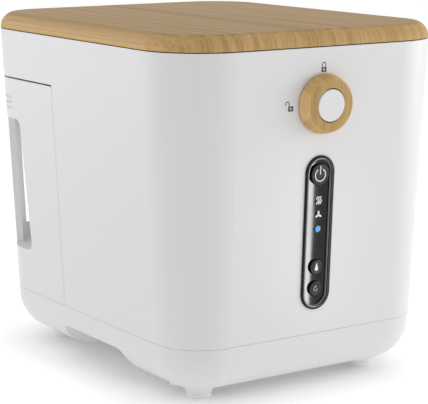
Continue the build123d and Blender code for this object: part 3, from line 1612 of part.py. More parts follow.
def air_duct():
    """Square duct from the deck down to the fan."""
    half = fan_size / 2 - duct_margin + duct_wall
    low = fan_low_z + fan_height
    duct = block((fan_x - half, fan_x + half), (fan_y - half, fan_y + half), (low, deck_low_z))
    flange = block((fan_x - fan_size / 2, fan_x + fan_size / 2), (fan_y - fan_size / 2, fan_y + fan_size / 2),
                   (low, low + duct_wall))
    return duct + flange - duct_hollow(low - 1, deck_low_z + 1)


def fan_frame():
    """Square frame with a four-armed spider and hub pin."""
    half = fan_size / 2
    high = fan_low_z + fan_height
    frame = block((-half, half), (-half, half), (fan_low_z, high))
    frame = fillet(frame.edges().filter_by(Axis.Z), fan_corner)
    frame = frame - rod(fan_bore, fan_low_z - 1, high + 1)
    for turn in (45, 135):
        arm = block((-fan_bore - 0.5, fan_bore + 0.5), (-spider_half_width, spider_half_width),
                    (fan_low_z, fan_low_z + spider_thickness))
        frame = frame + Rot(0, 0, turn) * arm
    frame = frame + rod(fan_hub_radius, fan_low_z, fan_low_z + spider_hub_thickness)
    frame = frame + rod(fan_pin_radius, fan_low_z, high - 5)
    return Pos(fan_x, fan_y, 0) * frame


def fan_impeller():
    """Hub with pitched blades, bored for the frame's pin."""
    low = fan_low_z + 3
    high = fan_low_z + fan_height - 2
    wheel = rod(fan_hub_radius, low, high)
    reach = fan_bore - fan_tip_gap
    middle = (low + high) / 2
    for index in range(fan_blades):
        blade = Pos((fan_hub_radius + reach) / 2 - 1, 0, middle) * Rot(blade_pitch, 0, 0) \
            * Box(reach - fan_hub_radius + 2, blade_thickness, (high - low) * blade_share)
        wheel = wheel + Rot(0, 0, 360 * index / fan_blades) * blade
    wheel = wheel & rod(reach, low, high)
    bore = rod(fan_pin_radius + running_fit, low - 1, fan_low_z + fan_height - 4.5)
    return Pos(fan_x, fan_y, 0) * (wheel - bore)


def outlet_duct():
    """Elbow from the fan to the bulkhead's port."""
    half = fan_size / 2 - 1
    inner = half - duct_wall
    low = port_z - port_height / 2 - duct_wall
    outer = block((fan_x - half, fan_x + half), (fan_y - half, bulkhead_y), (low, fan_low_z))
    room = block((fan_x - inner, fan_x + inner), (fan_y - inner, bulkhead_y - duct_wall),
                 (low + duct_wall, fan_low_z + 1))
    clear = outer - room - port_space(0, bulkhead_y + 1)
    return clear - rod(well_radius + insulation_thickness + 3 * fit_gap, 0, lid_seat_z, 0, bin_y)


# ---- Mains ----
def power_inlet():
    """Three-pin appliance socket set in the tray's rear pocket."""
    half_x = inlet_width / 2
    half_z = inlet_height / 2
    body = block((inlet_x - half_x, inlet_x + half_x), (inlet_plane_y - inlet_depth, inlet_plane_y),
                 (inlet_z - half_z, inlet_z + half_z))
    wide_x = half_x + inlet_flange
    wide_z = half_z + inlet_flange
    flange = block((inlet_x - wide_x, inlet_x + wide_x),
                   (inlet_plane_y, inlet_plane_y + inlet_flange_thickness),
                   (inlet_z - wide_z, inlet_z + wide_z))
    near_x = half_x - inlet_wall
    near_z = half_z - inlet_wall
    mouth = block((inlet_x - near_x, inlet_x + near_x),
                  (inlet_plane_y - inlet_mouth_depth, inlet_plane_y + 3),
                  (inlet_z - near_z, inlet_z + near_z))
    socket = body + flange - mouth
    for shift_x, shift_z in pin_places:
        x = inlet_x + shift_x
        z = inlet_z + shift_z
        pin = block((x - pin_half_width, x + pin_half_width),
                    (inlet_plane_y - inlet_mouth_depth - 1, inlet_plane_y - pin_drop),
                    (z - pin_half_height, z + pin_half_height))
        socket = socket + pin
    return socket


def power_board():
    """Supply board on the tray's pillars, with its large components."""
    half_x = supply_width / 2
    half_y = supply_length / 2
    low = supply_z
    top = supply_z + board_thickness
    board = block((supply_x - half_x, supply_x + half_x), (supply_y - half_y, supply_y + half_y), (low, top))
    core_x, core_y, core_height = supply_core
    board = board + Pos(supply_x, supply_y, 0) * block(core_x, core_y, (top, top + core_height))
    for shift in supply_can_ys:
        board = board + rod(supply_can_radius, top, top + supply_can_height, supply_x + supply_can_x,
                            supply_y + shift)
    for shift in supply_block_ys:
        y_span = (shift - supply_block_half, shift + supply_block_half)
        coil = block(supply_block_x, y_span, (top, top + supply_block_height))
        board = board + Pos(supply_x, supply_y, 0) * coil
    return board


def build_base():
    """Write the base's nodes."""
    save("base_tray", base_tray())
    save("rubber_feet", *rubber_feet())
    save("bay_floor", bay_floor())
    save("drawer_runners", *drawer_runners())
    save("power_inlet", power_inlet())
    save("power_board", power_board())


def build_casing():
    """Write the casing's nodes."""
    save("main_shell", main_shell())
    save("top_deck", top_deck())
    save("casing_screws", *(base_screws() + deck_screws() + hinge_case_screws()))
    save("knob_bush", knob_bush())


def build_bin():
    """Write the bin's nodes."""
    save("bin_well", bin_well())
    save("well_insulation", well_insulation())
    save("heater_plate", heater_plate())
    save("heater_ring", heater_ring())
    save("thermostat", thermostat())
    save("food_bin", food_bin())
    save("bin_bush", bin_bush())


def build_drive():
    """Write the drive's nodes."""
    save("chassis_plate", chassis_plate())
    save("chassis_screws", *chassis_screws())
    save("gearbox_housing", gearbox_housing())
    save("gearbox_cover", gearbox_cover())
    save("output_bearings", *output_bearings())
    save("motor_case", motor_case())
    save("motor_pinion", motor_pinion())
    save("idler_axle", idler_axle())
    save("idler_gear", idler_gear())
    save("output_gear", output_gear())
    save("output_shaft", output_shaft())
    save("drive_coupling", drive_coupling())
    save("agitator_shaft", agitator_shaft())
    save("agitator", agitator())


def build_lid():
    """Write the lid's nodes."""
    save("lid_board", lid_board())
    save("lid_liner", lid_liner())
    save("lid_gasket", lid_gasket())
    save("lid_strike", lid_strike())
    save("lid_screws", *(lid_screws() + hinge_leaf_screws()))
    save("hinge_lid_leaves", *hinge_lid_leaves())
    save("hinge_body_leaves", *hinge_body_leaves())
    save("hinge_pins", *hinge_pins())


def build_front():
    """Write the knob's and panel's nodes."""
    save("knob_ring", knob_ring())
    save("knob_hub", knob_hub())
    save("knob_cap", knob_cap())
    save("knob_spindle", knob_spindle())
    save("latch_cam", latch_cam())
    save("control_bezel", control_bezel())
    save("control_panel", control_panel())
    for name, (place, radius) in button_sites().items():
        save(name, push_button(place, radius))
    save("indicator_lamps", *[lamp(z) for z in lamp_zs])
    save("control_board", control_board())
    save("board_screws", *board_pillars())


def build_drawer():
    """Write the drawer's and fan's nodes."""
    save("drawer_shell", drawer_shell())
    save("filter_cases", *both_sides(filter_case()))
    save("carbon_beds", *both_sides(carbon_bed()))
    save("filter_grids", *both_sides(filter_grid()))
    save("air_duct", air_duct())
    save("fan_frame", fan_frame())
    save("fan_impeller", fan_impeller())
    save("outlet_duct", outlet_duct())


build_base()
build_casing()
build_bin()
build_drive()
build_lid()
build_front()
build_drawer()
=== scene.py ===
"""Finishes, marks and studio of a countertop food waste composter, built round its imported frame.

Sizes are in millimetres, and a finished piece is brought to metres in its mesh.
"""

import logging
import math
from collections.abc import Sequence
from dataclasses import dataclass, field
from enum import Enum

import bmesh
import bpy
from mathutils import Matrix, Vector


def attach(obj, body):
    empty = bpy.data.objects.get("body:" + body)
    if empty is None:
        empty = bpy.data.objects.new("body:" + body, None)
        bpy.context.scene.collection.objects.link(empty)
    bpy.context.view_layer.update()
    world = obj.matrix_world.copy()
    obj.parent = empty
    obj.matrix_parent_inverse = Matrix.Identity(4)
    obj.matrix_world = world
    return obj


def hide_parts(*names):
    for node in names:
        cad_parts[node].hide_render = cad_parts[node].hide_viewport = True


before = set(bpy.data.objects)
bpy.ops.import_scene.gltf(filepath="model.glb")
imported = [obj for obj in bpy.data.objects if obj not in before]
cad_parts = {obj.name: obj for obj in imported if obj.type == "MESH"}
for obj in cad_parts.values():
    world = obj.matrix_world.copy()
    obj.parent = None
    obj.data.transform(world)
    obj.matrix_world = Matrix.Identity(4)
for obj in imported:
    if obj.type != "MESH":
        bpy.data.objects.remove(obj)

LOG = logging.getLogger("composter")

MM = 0.001

# The casing, in millimetres, with its draft in radians
DRAFT = math.radians(2.85)
LID_SEAT = 283.0
BODY_WIDTH = 270.0
BODY_DEPTH = 332.5
CORNER = 54.0
BASE_SEAM = 49.0
DRAWER_SEAM = 241.0
DRAWER_FRONT = 37.5

# Steps of curves, and limits of the mesh work
CORNER_STEPS = 28
BAR_STEPS = 5
BAND_STEPS = 20
PLATE_STEPS = 4
DISC_STEPS = 28
LATHE_STEPS = 96
CAPSULE_CORNER = 0.98
ARC_STEP = 9.0
WELD = 0.0004
EDGE_SAMPLES = 6

Rgb = tuple[float, float, float]
Xyz = tuple[float, float, float]
Point = tuple[float, float]

WHITE: Rgb = (1.0, 1.0, 1.0)
BLACK: Rgb = (0.0, 0.0, 0.0)


# ---- Shader kit ----
class Signal:
    """A value on a shader socket, on which Python arithmetic adds Math nodes."""

    def __init__(self, painter: "Painter", socket: bpy.types.NodeSocket) -> None:
        """Keep the socket and the painter that owns its tree."""
        self.painter = painter
        self.socket = socket

    def math(self, operation: str, first: "Signal | float", second: "Signal | float") -> "Signal":
        """Add one Math node.

        Args:
            operation: The Math node's operation.
            first: Its first value.
            second: Its second value.

        Returns:
            The node's result.
        """
        return self.painter.node("ShaderNodeMath", {"operation": operation}, {0: first, 1: second})

    def __add__(self, other: "Signal | float") -> "Signal":
        """Sum."""
        return self.math("ADD", self, other)

    __radd__ = __add__

    def __sub__(self, other: "Signal | float") -> "Signal":
        """Difference."""
        return self.math("SUBTRACT", self, other)

    def __rsub__(self, other: float) -> "Signal":
        """Difference from a plain number."""
        return self.math("SUBTRACT", other, self)

    def __mul__(self, other: "Signal | float") -> "Signal":
        """Product."""
        return self.math("MULTIPLY", self, other)

    __rmul__ = __mul__

    def __truediv__(self, other: "Signal | float") -> "Signal":
        """Quotient."""
        return self.math("DIVIDE", self, other)

    def __pow__(self, other: float) -> "Signal":
        """Power."""
        return self.math("POWER", self, other)

    def either(self, other: "Signal") -> "Signal":
        """Larger of two values."""
        return self.math("MAXIMUM", self, other)

    def floor(self) -> "Signal":
        """Whole part."""
        return self.math("FLOOR", self, 0.0)

    def size(self) -> "Signal":
        """Absolute value."""
        return self.math("ABSOLUTE", self, 0.0)

    def above(self, low: float, high: float) -> "Signal":
        """Smooth step.

        Args:
            low: Value at which the step starts.
            high: Value at which it is complete.

        Returns:
            0 below low, 1 above high, and a smooth climb between.
        """
        limits = {"Value": self, "From Min": low, "From Max": high}
        return self.painter.node("ShaderNodeMapRange", {"interpolation_type": "SMOOTHSTEP"}, limits)


class Painter:
    """Node tree of one material or world."""

    def __init__(self, owner: "bpy.types.Material | bpy.types.World") -> None:
        """Start an empty tree.

        Args:
            owner: The material or world that the tree belongs to.
        """
        owner.use_nodes = True
        self.owner = owner
        self.tree = owner.node_tree
        self.tree.nodes.clear()

    @classmethod
    def start(cls, name: str) -> "Painter":
        """Painter of a new material."""
        return cls(bpy.data.materials.new(name))

    def node(
        self, kind: str, settings: dict | None = None, inputs: dict | None = None, output: int | str = 0
    ) -> "Signal | None":
        """Add one node.

        Args:
            kind: The node's type.
            settings: Its properties, set first; "stops" holds a ramp's stops.
            inputs: Values or links of its sockets.
            output: Which of its outputs to return.

        Returns:
            That output.
        """
        made = self.tree.nodes.new(kind)
        for key, value in (settings or {}).items():
            if key == "stops":
                self._set_stops(made.color_ramp, value)
            else:
                setattr(made, key, value)
        for key, value in (inputs or {}).items():
            if isinstance(value, Signal):
                self.tree.links.new(value.socket, made.inputs[key])
            else:
                made.inputs[key].default_value = value
        return Signal(self, made.outputs[output]) if made.outputs else None

    @staticmethod
    def _set_stops(ramp: bpy.types.ColorRamp, stops: Sequence[tuple[float, Rgb]]) -> None:
        """Give a ramp its stops.

        Args:
            ramp: The ramp.
            stops: Places from 0 to 1 and their colours.
        """
        while len(ramp.elements) < len(stops):
            ramp.elements.new(0.5)
        for element, (place, color) in zip(ramp.elements, stops):
            element.position = place
            element.color = (*color, 1.0)

    def place(self) -> Signal:
        """Object coordinates, in metres."""
        return self.node("ShaderNodeTexCoord", output="Object")

    def axes(self, vector: Signal) -> tuple[Signal, Signal, Signal]:
        """Split a vector.

        Args:
            vector: The vector.

        Returns:
            Its parts along x, y and z.
        """
        split = self.node("ShaderNodeSeparateXYZ", inputs={0: vector})
        outputs = split.socket.node.outputs
        return tuple(Signal(self, socket) for socket in outputs)

    def scaled(self, vector: Signal, scale: Xyz) -> Signal:
        """Scale a vector."""
        return self.node("ShaderNodeMapping", {"vector_type": "POINT"}, {"Vector": vector, "Scale": scale})

    def noise(self, vector: Signal, scale: float, detail: float = 2.0, rough: float = 0.5) -> Signal:
        """Soft noise.

        Args:
            vector: Where to read it.
            scale: Cells per metre of the vector.
            detail: Octaves.
            rough: Weight of the finer octaves.

        Returns:
            A value round 0.5.
        """
        return self.node("ShaderNodeTexNoise", inputs={
            "Vector": vector, "Scale": scale, "Detail": detail, "Roughness": rough})

    def mix(self, share: Signal | float, low: "Signal | Rgb", high: "Signal | Rgb") -> Signal:
        """Blend two colours.

        Args:
            share: Share of the second colour, from 0 to 1.
            low: First colour.
            high: Second colour.

        Returns:
            The blend.
        """
        ends = {6: low if isinstance(low, Signal) else (*low, 1.0),
                7: high if isinstance(high, Signal) else (*high, 1.0)}
        return self.node("ShaderNodeMix", {"data_type": "RGBA"}, {0: share, **ends}, output=2)

    def seen(self) -> Signal:
        """Tell a look at a surface from the light that it gives.

        Returns:
            1 where it is seen, mirrored or seen through, 0 where it only gives light.
        """
        camera, glossy, through = (self.node("ShaderNodeLightPath", output=f"Is {kind} Ray")
                                   for kind in ("Camera", "Glossy", "Transmission"))
        return camera.either(glossy).either(through)

    def shade(self, color: "Signal | Rgb", gain: "Signal | float") -> Signal:
        """Multiply a colour by a number."""
        return self.node("ShaderNodeVectorMath", {"operation": "SCALE"}, {0: color, "Scale": gain})

    def bump(self, height: Signal, depth: float, normal: Signal | None = None) -> Signal:
        """Normal of a fine relief.

        Args:
            height: Relief from 0 to 1.
            depth: Height of the relief, in metres.
            normal: Normal that it starts from.

        Returns:
            The bumped normal.
        """
        inputs = {"Height": height, "Distance": depth, "Strength": 1.0}
        if normal is not None:
            inputs["Normal"] = normal
        return self.node("ShaderNodeBump", inputs=inputs)

    def soft_edge(self, radius: float) -> Signal:
        """Normal that rounds sharp edges.

        Args:
            radius: Apparent edge radius in millimetres.

        Returns:
            The rounded normal.
        """
        return self.node("ShaderNodeBevel", {"samples": EDGE_SAMPLES}, {"Radius": radius * MM})

    def finish(self, shader: Signal, output: str = "ShaderNodeOutputMaterial") -> bpy.types.Material:
        """Join a shader to the output and return the tree's owner."""
        self.node(output, inputs={"Surface": shader})
        return self.owner

    def principled(self, **inputs: "Signal | float | tuple") -> Signal:
        """Principled shader; underscores in the names stand for spaces."""
        named = {key.replace("_", " "): value for key, value in inputs.items()}
        return self.node("ShaderNodeBsdfPrincipled", inputs=named)


# ---- Finishes ----
@dataclass(frozen=True)
class Moulded:
    """Moulded plastic or rubber with a fine spark-eroded texture.

    Attributes:
        name: Material name.
        color: Base colour.
        roughness: Mean roughness.
        edge: Apparent edge radius in millimetres.
        texture: Depth of the texture in millimetres.
        pitch: Width of a texture cell in millimetres.
        mottle: Change of tone across the surface.
        fade: Share of the painted highlight's tone that is lost from the panel's left side to its right.
        fade_span: Places along x between which it is lost, in metres.
        cloud: Cells per metre of the change of tone.
        haze: Cells per metre of the change of roughness.
        haze_range: Change of roughness across the surface.
    """

    name: str
    color: Rgb
    roughness: float
    edge: float = 0.3
    texture: float = 0.006
    pitch: float = 0.5
    mottle: float = 0.012
    fade: float = 0.0
    fade_span: Point = (-0.004, 0.008)
    cloud: float = 14.0
    haze: float = 45.0
    haze_range: float = 0.12

    def paint(self) -> bpy.types.Material:
        """Build the material.

        Returns:
            The finished material.
        """
        painter = Painter.start(self.name)
        place = painter.place()
        cloud = painter.noise(place, self.cloud, detail=3.0)
        grain = painter.noise(place, 1.0 / (self.pitch * MM), detail=1.0)
        tone = (cloud - 0.5) * (2.0 * self.mottle) + 1.0
        # Painted highlight: the tone fades out from the panel's left side to its right.
        if self.fade:
            tone = tone * (1.0 - painter.axes(place)[0].above(*self.fade_span) * self.fade)
        base = painter.shade(self.color, tone)
        rough = self.roughness + (painter.noise(place, self.haze, detail=4.0) - 0.5) * self.haze_range
        normal = painter.bump(grain, self.texture * MM, painter.soft_edge(self.edge))
        return painter.finish(painter.principled(Base_Color=base, Roughness=rough, Normal=normal))


class Fibre(Enum):
    """Axes that a board's strips lie across, its fibres run along and its thickness lies on."""

    FRONT_TO_BACK = (0, 1, 2)
    UPRIGHT = (0, 2, 1)


@dataclass(frozen=True)
class Laminated:
    """Oiled boards of narrow glued strips, with end grain where the fibres meet the surface.

    Attributes:
        name: Material name.
        fibre: Direction of the strips.
        strip: Width of a strip in millimetres.
        dark: Colour of the darkest strips.
        light: Colour of the lightest strips.
        seed: Shift that gives each board its own strips.
        contrast: How much neighbouring strips differ.
        edge_painted_light: Painted light that brightens the long-grain edges.
        face_painted_shade: Painted shade that darkens the broad faces.
        end_drop: How much darker the end grain is.
        middle: Share of light in the colour halfway.
        fine: Fine fibres, as cells per metre across and along them.
        fine_weight: How much they change the tone.
        bundle: Bundles of fibres, counted alike.
        bundle_weight: How much they change the tone.
        broad: Slow change of tone, counted alike.
        broad_weight: How much it changes the tone.
        streak: Cells per metre of the end grain's streaks across the strips, along the fibres and
            through the board.
        streak_weight: How much they change the tone.
        end_hush: Share of the fibres' tone that is lost on end grain.
        end_contrast: How much more the strips differ on end grain.
        pore: Pores of the end grain, counted as the fine fibres are.
        end_facing: How far a surface faces along the fibres where end grain starts and is complete.
        face_facing: How far it faces out of the board where a broad face starts and is complete.
        pore_size: Distances from a pore's middle at which it starts and ends to fade.
        pore_drop: How much darker the pores are.
        glue_edge: Distances from a strip's middle at which the glued joint starts and is complete.
        glue_drop: How much darker the joints are.
        relief: Depth of the fibres in millimetres.
        relief_mix: Shares of fine fibres and bundles in it.
        end_flat: Share of it that is lost on end grain.
        edge: Apparent edge radius in millimetres.
        roughness: Mean roughness.
        rough_range: Change of roughness between the fibres.
        end_rough: How much rougher end grain is.
        specular: Strength of the reflections, 0.5 for bare plastic.
    """

    name: str
    fibre: Fibre
    strip: float
    dark: Rgb
    light: Rgb
    seed: float = 0.0
    contrast: float = 0.2
    edge_painted_light: float = 1.26
    face_painted_shade: float = 0.33
    end_drop: float = 0.14
    middle: float = 0.55
    fine: Point = (700.0, 12.0)
    fine_weight: float = 0.9
    bundle: Point = (320.0, 2.0)
    bundle_weight: float = 0.7
    broad: Point = (110.0, 3.0)
    broad_weight: float = 0.3
    streak: Xyz = (520.0, 25.0, 14.0)
    streak_weight: float = 1.5
    end_hush: float = 0.85
    end_contrast: float = 0.5
    pore: Point = (1500.0, 40.0)
    end_facing: Point = (0.35, 0.9)
    face_facing: Point = (0.75, 0.99)
    pore_size: Point = (0.10, 0.38)
    pore_drop: float = 0.08
    glue_edge: Point = (0.475, 0.5)
    glue_drop: float = 0.16
    relief: float = 0.03
    relief_mix: Point = (0.6, 0.4)
    end_flat: float = 0.8
    edge: float = 0.4
    roughness: float = 0.5
    rough_range: float = 0.25
    end_rough: float = 0.06
    specular: float = 0.08

    def paint(self) -> bpy.types.Material:
        """Build the material.

        Returns:
            The finished material.
        """
        painter = Painter.start(self.name)
        place = painter.place()
        across, along, thick = self.fibre.value
        normals = painter.axes(painter.node("ShaderNodeTexCoord", output="Normal"))
        end = normals[along].size().above(*self.end_facing)
        broad_face = normals[thick].size().above(*self.face_facing)
        strips = painter.axes(place)[across] / (self.strip * MM) + self.seed
        index = strips.floor()
        fine = painter.noise(self._stretch(painter, place, self.fine), 1.0, detail=4.0, rough=0.6)
        bundle = painter.noise(self._stretch(painter, place, self.bundle), 1.0, detail=1.0)
        base = painter.shade(self._color(painter, place, index, fine, bundle, end),
                             self._gain(painter, place, strips - index, end, broad_face))
        fibres = fine * self.relief_mix[0] + bundle * self.relief_mix[1]
        relief = fibres * (1.0 - end * self.end_flat)
        normal = painter.bump(relief, self.relief * MM, painter.soft_edge(self.edge))
        rough = self.roughness + (fine - 0.5) * self.rough_range + end * self.end_rough
        return painter.finish(painter.principled(
            Base_Color=base, Roughness=rough, Normal=normal, Specular_IOR_Level=self.specular))

    def _color(self, painter: Painter, place: Signal, index: Signal, fine: Signal, bundle: Signal,
               end: Signal) -> Signal:
        """Colour of the strips and their fibres.

        Args:
            painter: Painter of the material.
            place: Object coordinates.
            index: Number of the strip.
            fine: Noise of the fine fibres.
            bundle: Noise of the bundles of fibres.
            end: 1 on end grain.

        Returns:
            The colour before joints, pores, end grain, painted light on the edges and painted shade on the
            broad faces change its brightness.
        """
        tone = painter.node("ShaderNodeTexWhiteNoise", {"noise_dimensions": "1D"}, {"W": index})
        broad = painter.noise(self._stretch(painter, place, self.broad), 1.0, detail=2.0)
        streaks = painter.noise(painter.scaled(place, self._ordered(self.streak)), 1.0, detail=3.0, rough=0.6)
        strip_part = (tone - 0.5) * (self.contrast * (1.0 + end * self.end_contrast))
        fibres = (fine - 0.5) * self.fine_weight + (bundle - 0.5) * self.bundle_weight
        fibre_part = fibres * (1.0 - end * self.end_hush)
        streak_part = (streaks - 0.5) * end * self.streak_weight
        broad_part = (broad - 0.5) * self.broad_weight * (1.0 - end)
        share = strip_part + fibre_part + streak_part + broad_part + 0.5
        halfway = tuple(low + (high - low) * self.middle for low, high in zip(self.dark, self.light))
        stops = [(0.0, self.dark), (0.5, halfway), (1.0, self.light)]
        return painter.node("ShaderNodeValToRGB", {"stops": stops}, {0: share})

    def _gain(self, painter: Painter, place: Signal, within: Signal, end: Signal,
              broad_face: Signal) -> Signal:
        """Brightness that joints, pores and end grain leave, with painted light on the long-grain edges and
        painted shade on the broad faces.

        Args:
            painter: Painter of the material.
            place: Object coordinates.
            within: Place within a strip, from 0 to 1.
            end: 1 on end grain.
            broad_face: 1 on the broad faces.

        Returns:
            The number that multiplies the colour.
        """
        pores = painter.node("ShaderNodeTexVoronoi", inputs={
            "Vector": self._stretch(painter, place, self.pore), "Scale": 1.0})
        pore = (1.0 - pores.above(*self.pore_size)) * end
        joint = 1.0 - (within - 0.5).size().above(*self.glue_edge) * self.glue_drop
        # Painted light on the long-grain edges and painted shade on the broad faces; end grain is darker in
        # its own colour.
        face = self.edge_painted_light - broad_face * self.face_painted_shade - end * self.end_drop
        return joint * (1.0 - pore * self.pore_drop) * face

    def _stretch(self, painter: Painter, place: Signal, cells: Point) -> Signal:
        """Coordinates scaled by cells per metre across and along the fibres."""
        across, along = cells
        return painter.scaled(place, self._ordered((across, along, across)))

    def _ordered(self, cells: Xyz) -> Xyz:
        """Bring numbers across, along and through the board into the order of x, y and z."""
        placed = dict(zip(self.fibre.value, cells))
        return tuple(placed[axis] for axis in range(3))


class Grain(Enum):
    """Surface that a metal's working has left."""

    ROLLED = (4.0, 1.0)
    BRUSHED = (1.0, 40.0)
    CAST = (1.0, 1.0)


@dataclass(frozen=True)
class Metal:
    """Bare or coated metal.

    Attributes:
        name: Material name.
        color: Reflected colour.
        roughness: Mean roughness.
        grain: Its worked surface.
        depth: Depth of that surface in millimetres.
        metallic: 1 for bare metal, less for a coat.
        speck: Share of pale specks in a coat.
        speck_color: Colour of the specks.
        speck_cells: Cells per metre of the specks.
        cells: Cells of the worked surface along x, y and z.
        edge: Apparent edge radius in millimetres.
    """

    name: str
    color: Rgb
    roughness: float
    grain: Grain = Grain.ROLLED
    depth: float = 0.004
    metallic: float = 1.0
    speck: float = 0.0
    speck_color: Rgb = (0.42, 0.42, 0.43)
    speck_cells: float = 900.0
    cells: Xyz = (40.0, 60.0, 60.0)
    edge: float = 0.25

    def paint(self) -> bpy.types.Material:
        """Build the material.

        Returns:
            The finished material.
        """
        painter = Painter.start(self.name)
        place = painter.place()
        run, cross = self.grain.value
        scale = tuple(cells * gain for cells, gain in zip(self.cells, (run, cross, cross)))
        worked = painter.noise(painter.scaled(place, scale), 14.0, detail=4.0)
        stain = painter.noise(place, 30.0, detail=3.0)
        base = painter.shade(self.color, 0.94 + stain * 0.12)
        if self.speck:
            flecks = painter.noise(place, self.speck_cells, detail=1.0)
            base = painter.mix(flecks.above(0.66, 0.74) * self.speck, base, self.speck_color)
        rough = self.roughness + (worked - 0.5) * 0.16 + (stain - 0.5) * 0.1
        normal = painter.bump(worked, self.depth * MM, painter.soft_edge(self.edge))
        return painter.finish(painter.principled(
            Base_Color=base, Metallic=self.metallic, Roughness=rough, Normal=normal))


@dataclass(frozen=True)
class Fibrous:
    """Felt or pressed charcoal: a coarse matt surface.

    Attributes:
        name: Material name.
        dark: Colour of the hollows.
        light: Colour of the raised places.
        cell: Width of a fibre bundle or grain in millimetres.
        depth: Relief in millimetres.
        roughness: Its roughness.
    """

    name: str
    dark: Rgb
    light: Rgb
    cell: float
    depth: float
    roughness: float = 0.92

    def paint(self) -> bpy.types.Material:
        """Build the material.

        Returns:
            The finished material.
        """
        painter = Painter.start(self.name)
        place = painter.place()
        cells = 1.0 / (self.cell * MM)
        lumps = painter.node("ShaderNodeTexVoronoi", inputs={"Vector": place, "Scale": cells})
        fuzz = painter.noise(place, 2.5 * cells, detail=4.0)
        height = (1.0 - lumps) * 0.7 + fuzz * 0.3
        base = painter.mix(height.above(0.2, 0.9), self.dark, self.light)
        normal = painter.bump(height, self.depth * MM)
        return painter.finish(painter.principled(Base_Color=base, Roughness=self.roughness, Normal=normal))


@dataclass(frozen=True)
class Circuit:
    """Coated circuit board with tracks and tinned pads.

    Attributes:
        name: Material name.
        mask: Colour of the coating.
        pitch: Spacing of the tracks in millimetres.
        tin: Colour of the pads.
        relief: Height of tracks and pads in millimetres.
        edge: Apparent edge radius in millimetres.
    """

    name: str
    mask: Rgb
    pitch: float
    tin: Rgb = (0.62, 0.62, 0.6)
    relief: float = 0.04
    edge: float = 0.2

    def paint(self) -> bpy.types.Material:
        """Build the material.

        Returns:
            The finished material.
        """
        painter = Painter.start(self.name)
        place = painter.place()
        tracks = painter.node("ShaderNodeTexBrick", {"offset": 0.5, "squash": 1.0}, {
            "Vector": place, "Scale": 1.0 / (self.pitch * MM), "Mortar Size": 0.09,
            "Brick Width": 2.6, "Row Height": 0.8}, output="Fac")
        pads = painter.node("ShaderNodeTexVoronoi", inputs={
            "Vector": place, "Scale": 0.4 / (self.pitch * MM), "Randomness": 0.3})
        pad = 1.0 - pads.above(0.12, 0.16)
        copper = painter.mix(tracks * 0.5, self.mask, tuple(min(1.0, c * 2.2 + 0.02) for c in self.mask))
        base = painter.mix(pad, copper, self.tin)
        normal = painter.bump(tracks + pad, self.relief * MM, painter.soft_edge(self.edge))
        return painter.finish(painter.principled(
            Base_Color=base, Roughness=0.4 - pad * 0.1, Metallic=pad, Normal=normal))


@dataclass(frozen=True)
class GlossBlack:
    """Polished black plastic with a little handling haze.

    Attributes:
        name: Material name.
        color: Base colour.
        roughness: Roughness where it is clean.
        edge: Apparent edge radius in millimetres.
        mirror: Strength of its reflections, 0.5 for bare plastic.
        ripple: Depth of the surface's slow waves in millimetres.
        waves: Cells per metre of those waves.
        smear: Cells per metre of the haze.
    """

    name: str
    color: Rgb
    roughness: float
    edge: float = 0.15
    mirror: float = 0.5
    ripple: float = 0.004
    waves: float = 120.0
    smear: float = 60.0

    def paint(self) -> bpy.types.Material:
        """Build the material.

        Returns:
            The finished material.
        """
        painter = Painter.start(self.name)
        place = painter.place()
        haze = painter.noise(place, self.smear, detail=4.0).above(0.45, 0.8)
        base = painter.mix(haze * 0.3, self.color, tuple(c * 1.5 + 0.004 for c in self.color))
        waves = painter.noise(place, self.waves, detail=1.0)
        normal = painter.bump(waves, self.ripple * MM, painter.soft_edge(self.edge))
        return painter.finish(painter.principled(
            Base_Color=base, Roughness=self.roughness + haze * 0.02, Normal=normal,
            Specular_IOR_Level=self.mirror))


@dataclass(frozen=True)
class Printed:
    """Pad-printed ink, slightly uneven.

    Attributes:
        name: Material name.
        color: Ink colour.
        glow: Strength of the light behind it.
        grain: Cells per metre of its unevenness.
        roughness: Mean roughness.
    """

    name: str
    color: Rgb
    glow: float = 0.0
    grain: float = 1800.0
    roughness: float = 0.42

    def paint(self) -> bpy.types.Material:
        """Build the material.

        Returns:
            The finished material.
        """
        painter = Painter.start(self.name)
        place = painter.place()
        cover = 0.93 + painter.noise(place, self.grain, detail=2.0) * 0.14
        base = painter.shade(self.color, cover)
        return painter.finish(painter.principled(
            Base_Color=base, Roughness=self.roughness + (cover - 1.0) * 0.6, Emission_Color=base,
            Emission_Strength=self.glow))


@dataclass(frozen=True)
class Lamp:
    """Smoked light pipe with a lit spot behind one mark.

    Attributes:
        name: Material name.
        centre: Middle of the lit spot in millimetres.
        radius: Radius of its glow in millimetres.
        color: Colour of the light.
        strength: Strength of the light.
        smoke: Colour of the unlit plastic.
        roughness: Its roughness where it is clean.
        specular: Strength of the reflections, 0.5 for bare plastic.
    """

    name: str
    centre: Xyz
    radius: float
    color: Rgb
    strength: float
    smoke: Rgb = (0.012, 0.013, 0.016)
    roughness: float = 0.5
    specular: float = 0.05

    def paint(self) -> bpy.types.Material:
        """Build the material.

        Returns:
            The finished material.
        """
        painter = Painter.start(self.name)
        place = painter.place()
        shifted = painter.node("ShaderNodeVectorMath", {"operation": "SUBTRACT"}, {
            0: place, 1: tuple(c * MM for c in self.centre)})
        away = painter.node("ShaderNodeVectorMath", {"operation": "LENGTH"}, {0: shifted}, output="Value")
        lit = (1.0 - away.above(0.0, self.radius * MM)) ** 1.5
        glow = painter.mix(lit, BLACK, self.color)
        haze = painter.noise(place, 500.0, detail=2.0) * 0.05
        return painter.finish(painter.principled(
            Base_Color=(*self.smoke, 1.0), Roughness=self.roughness + haze, Emission_Color=glow,
            Emission_Strength=self.strength, Specular_IOR_Level=self.specular))


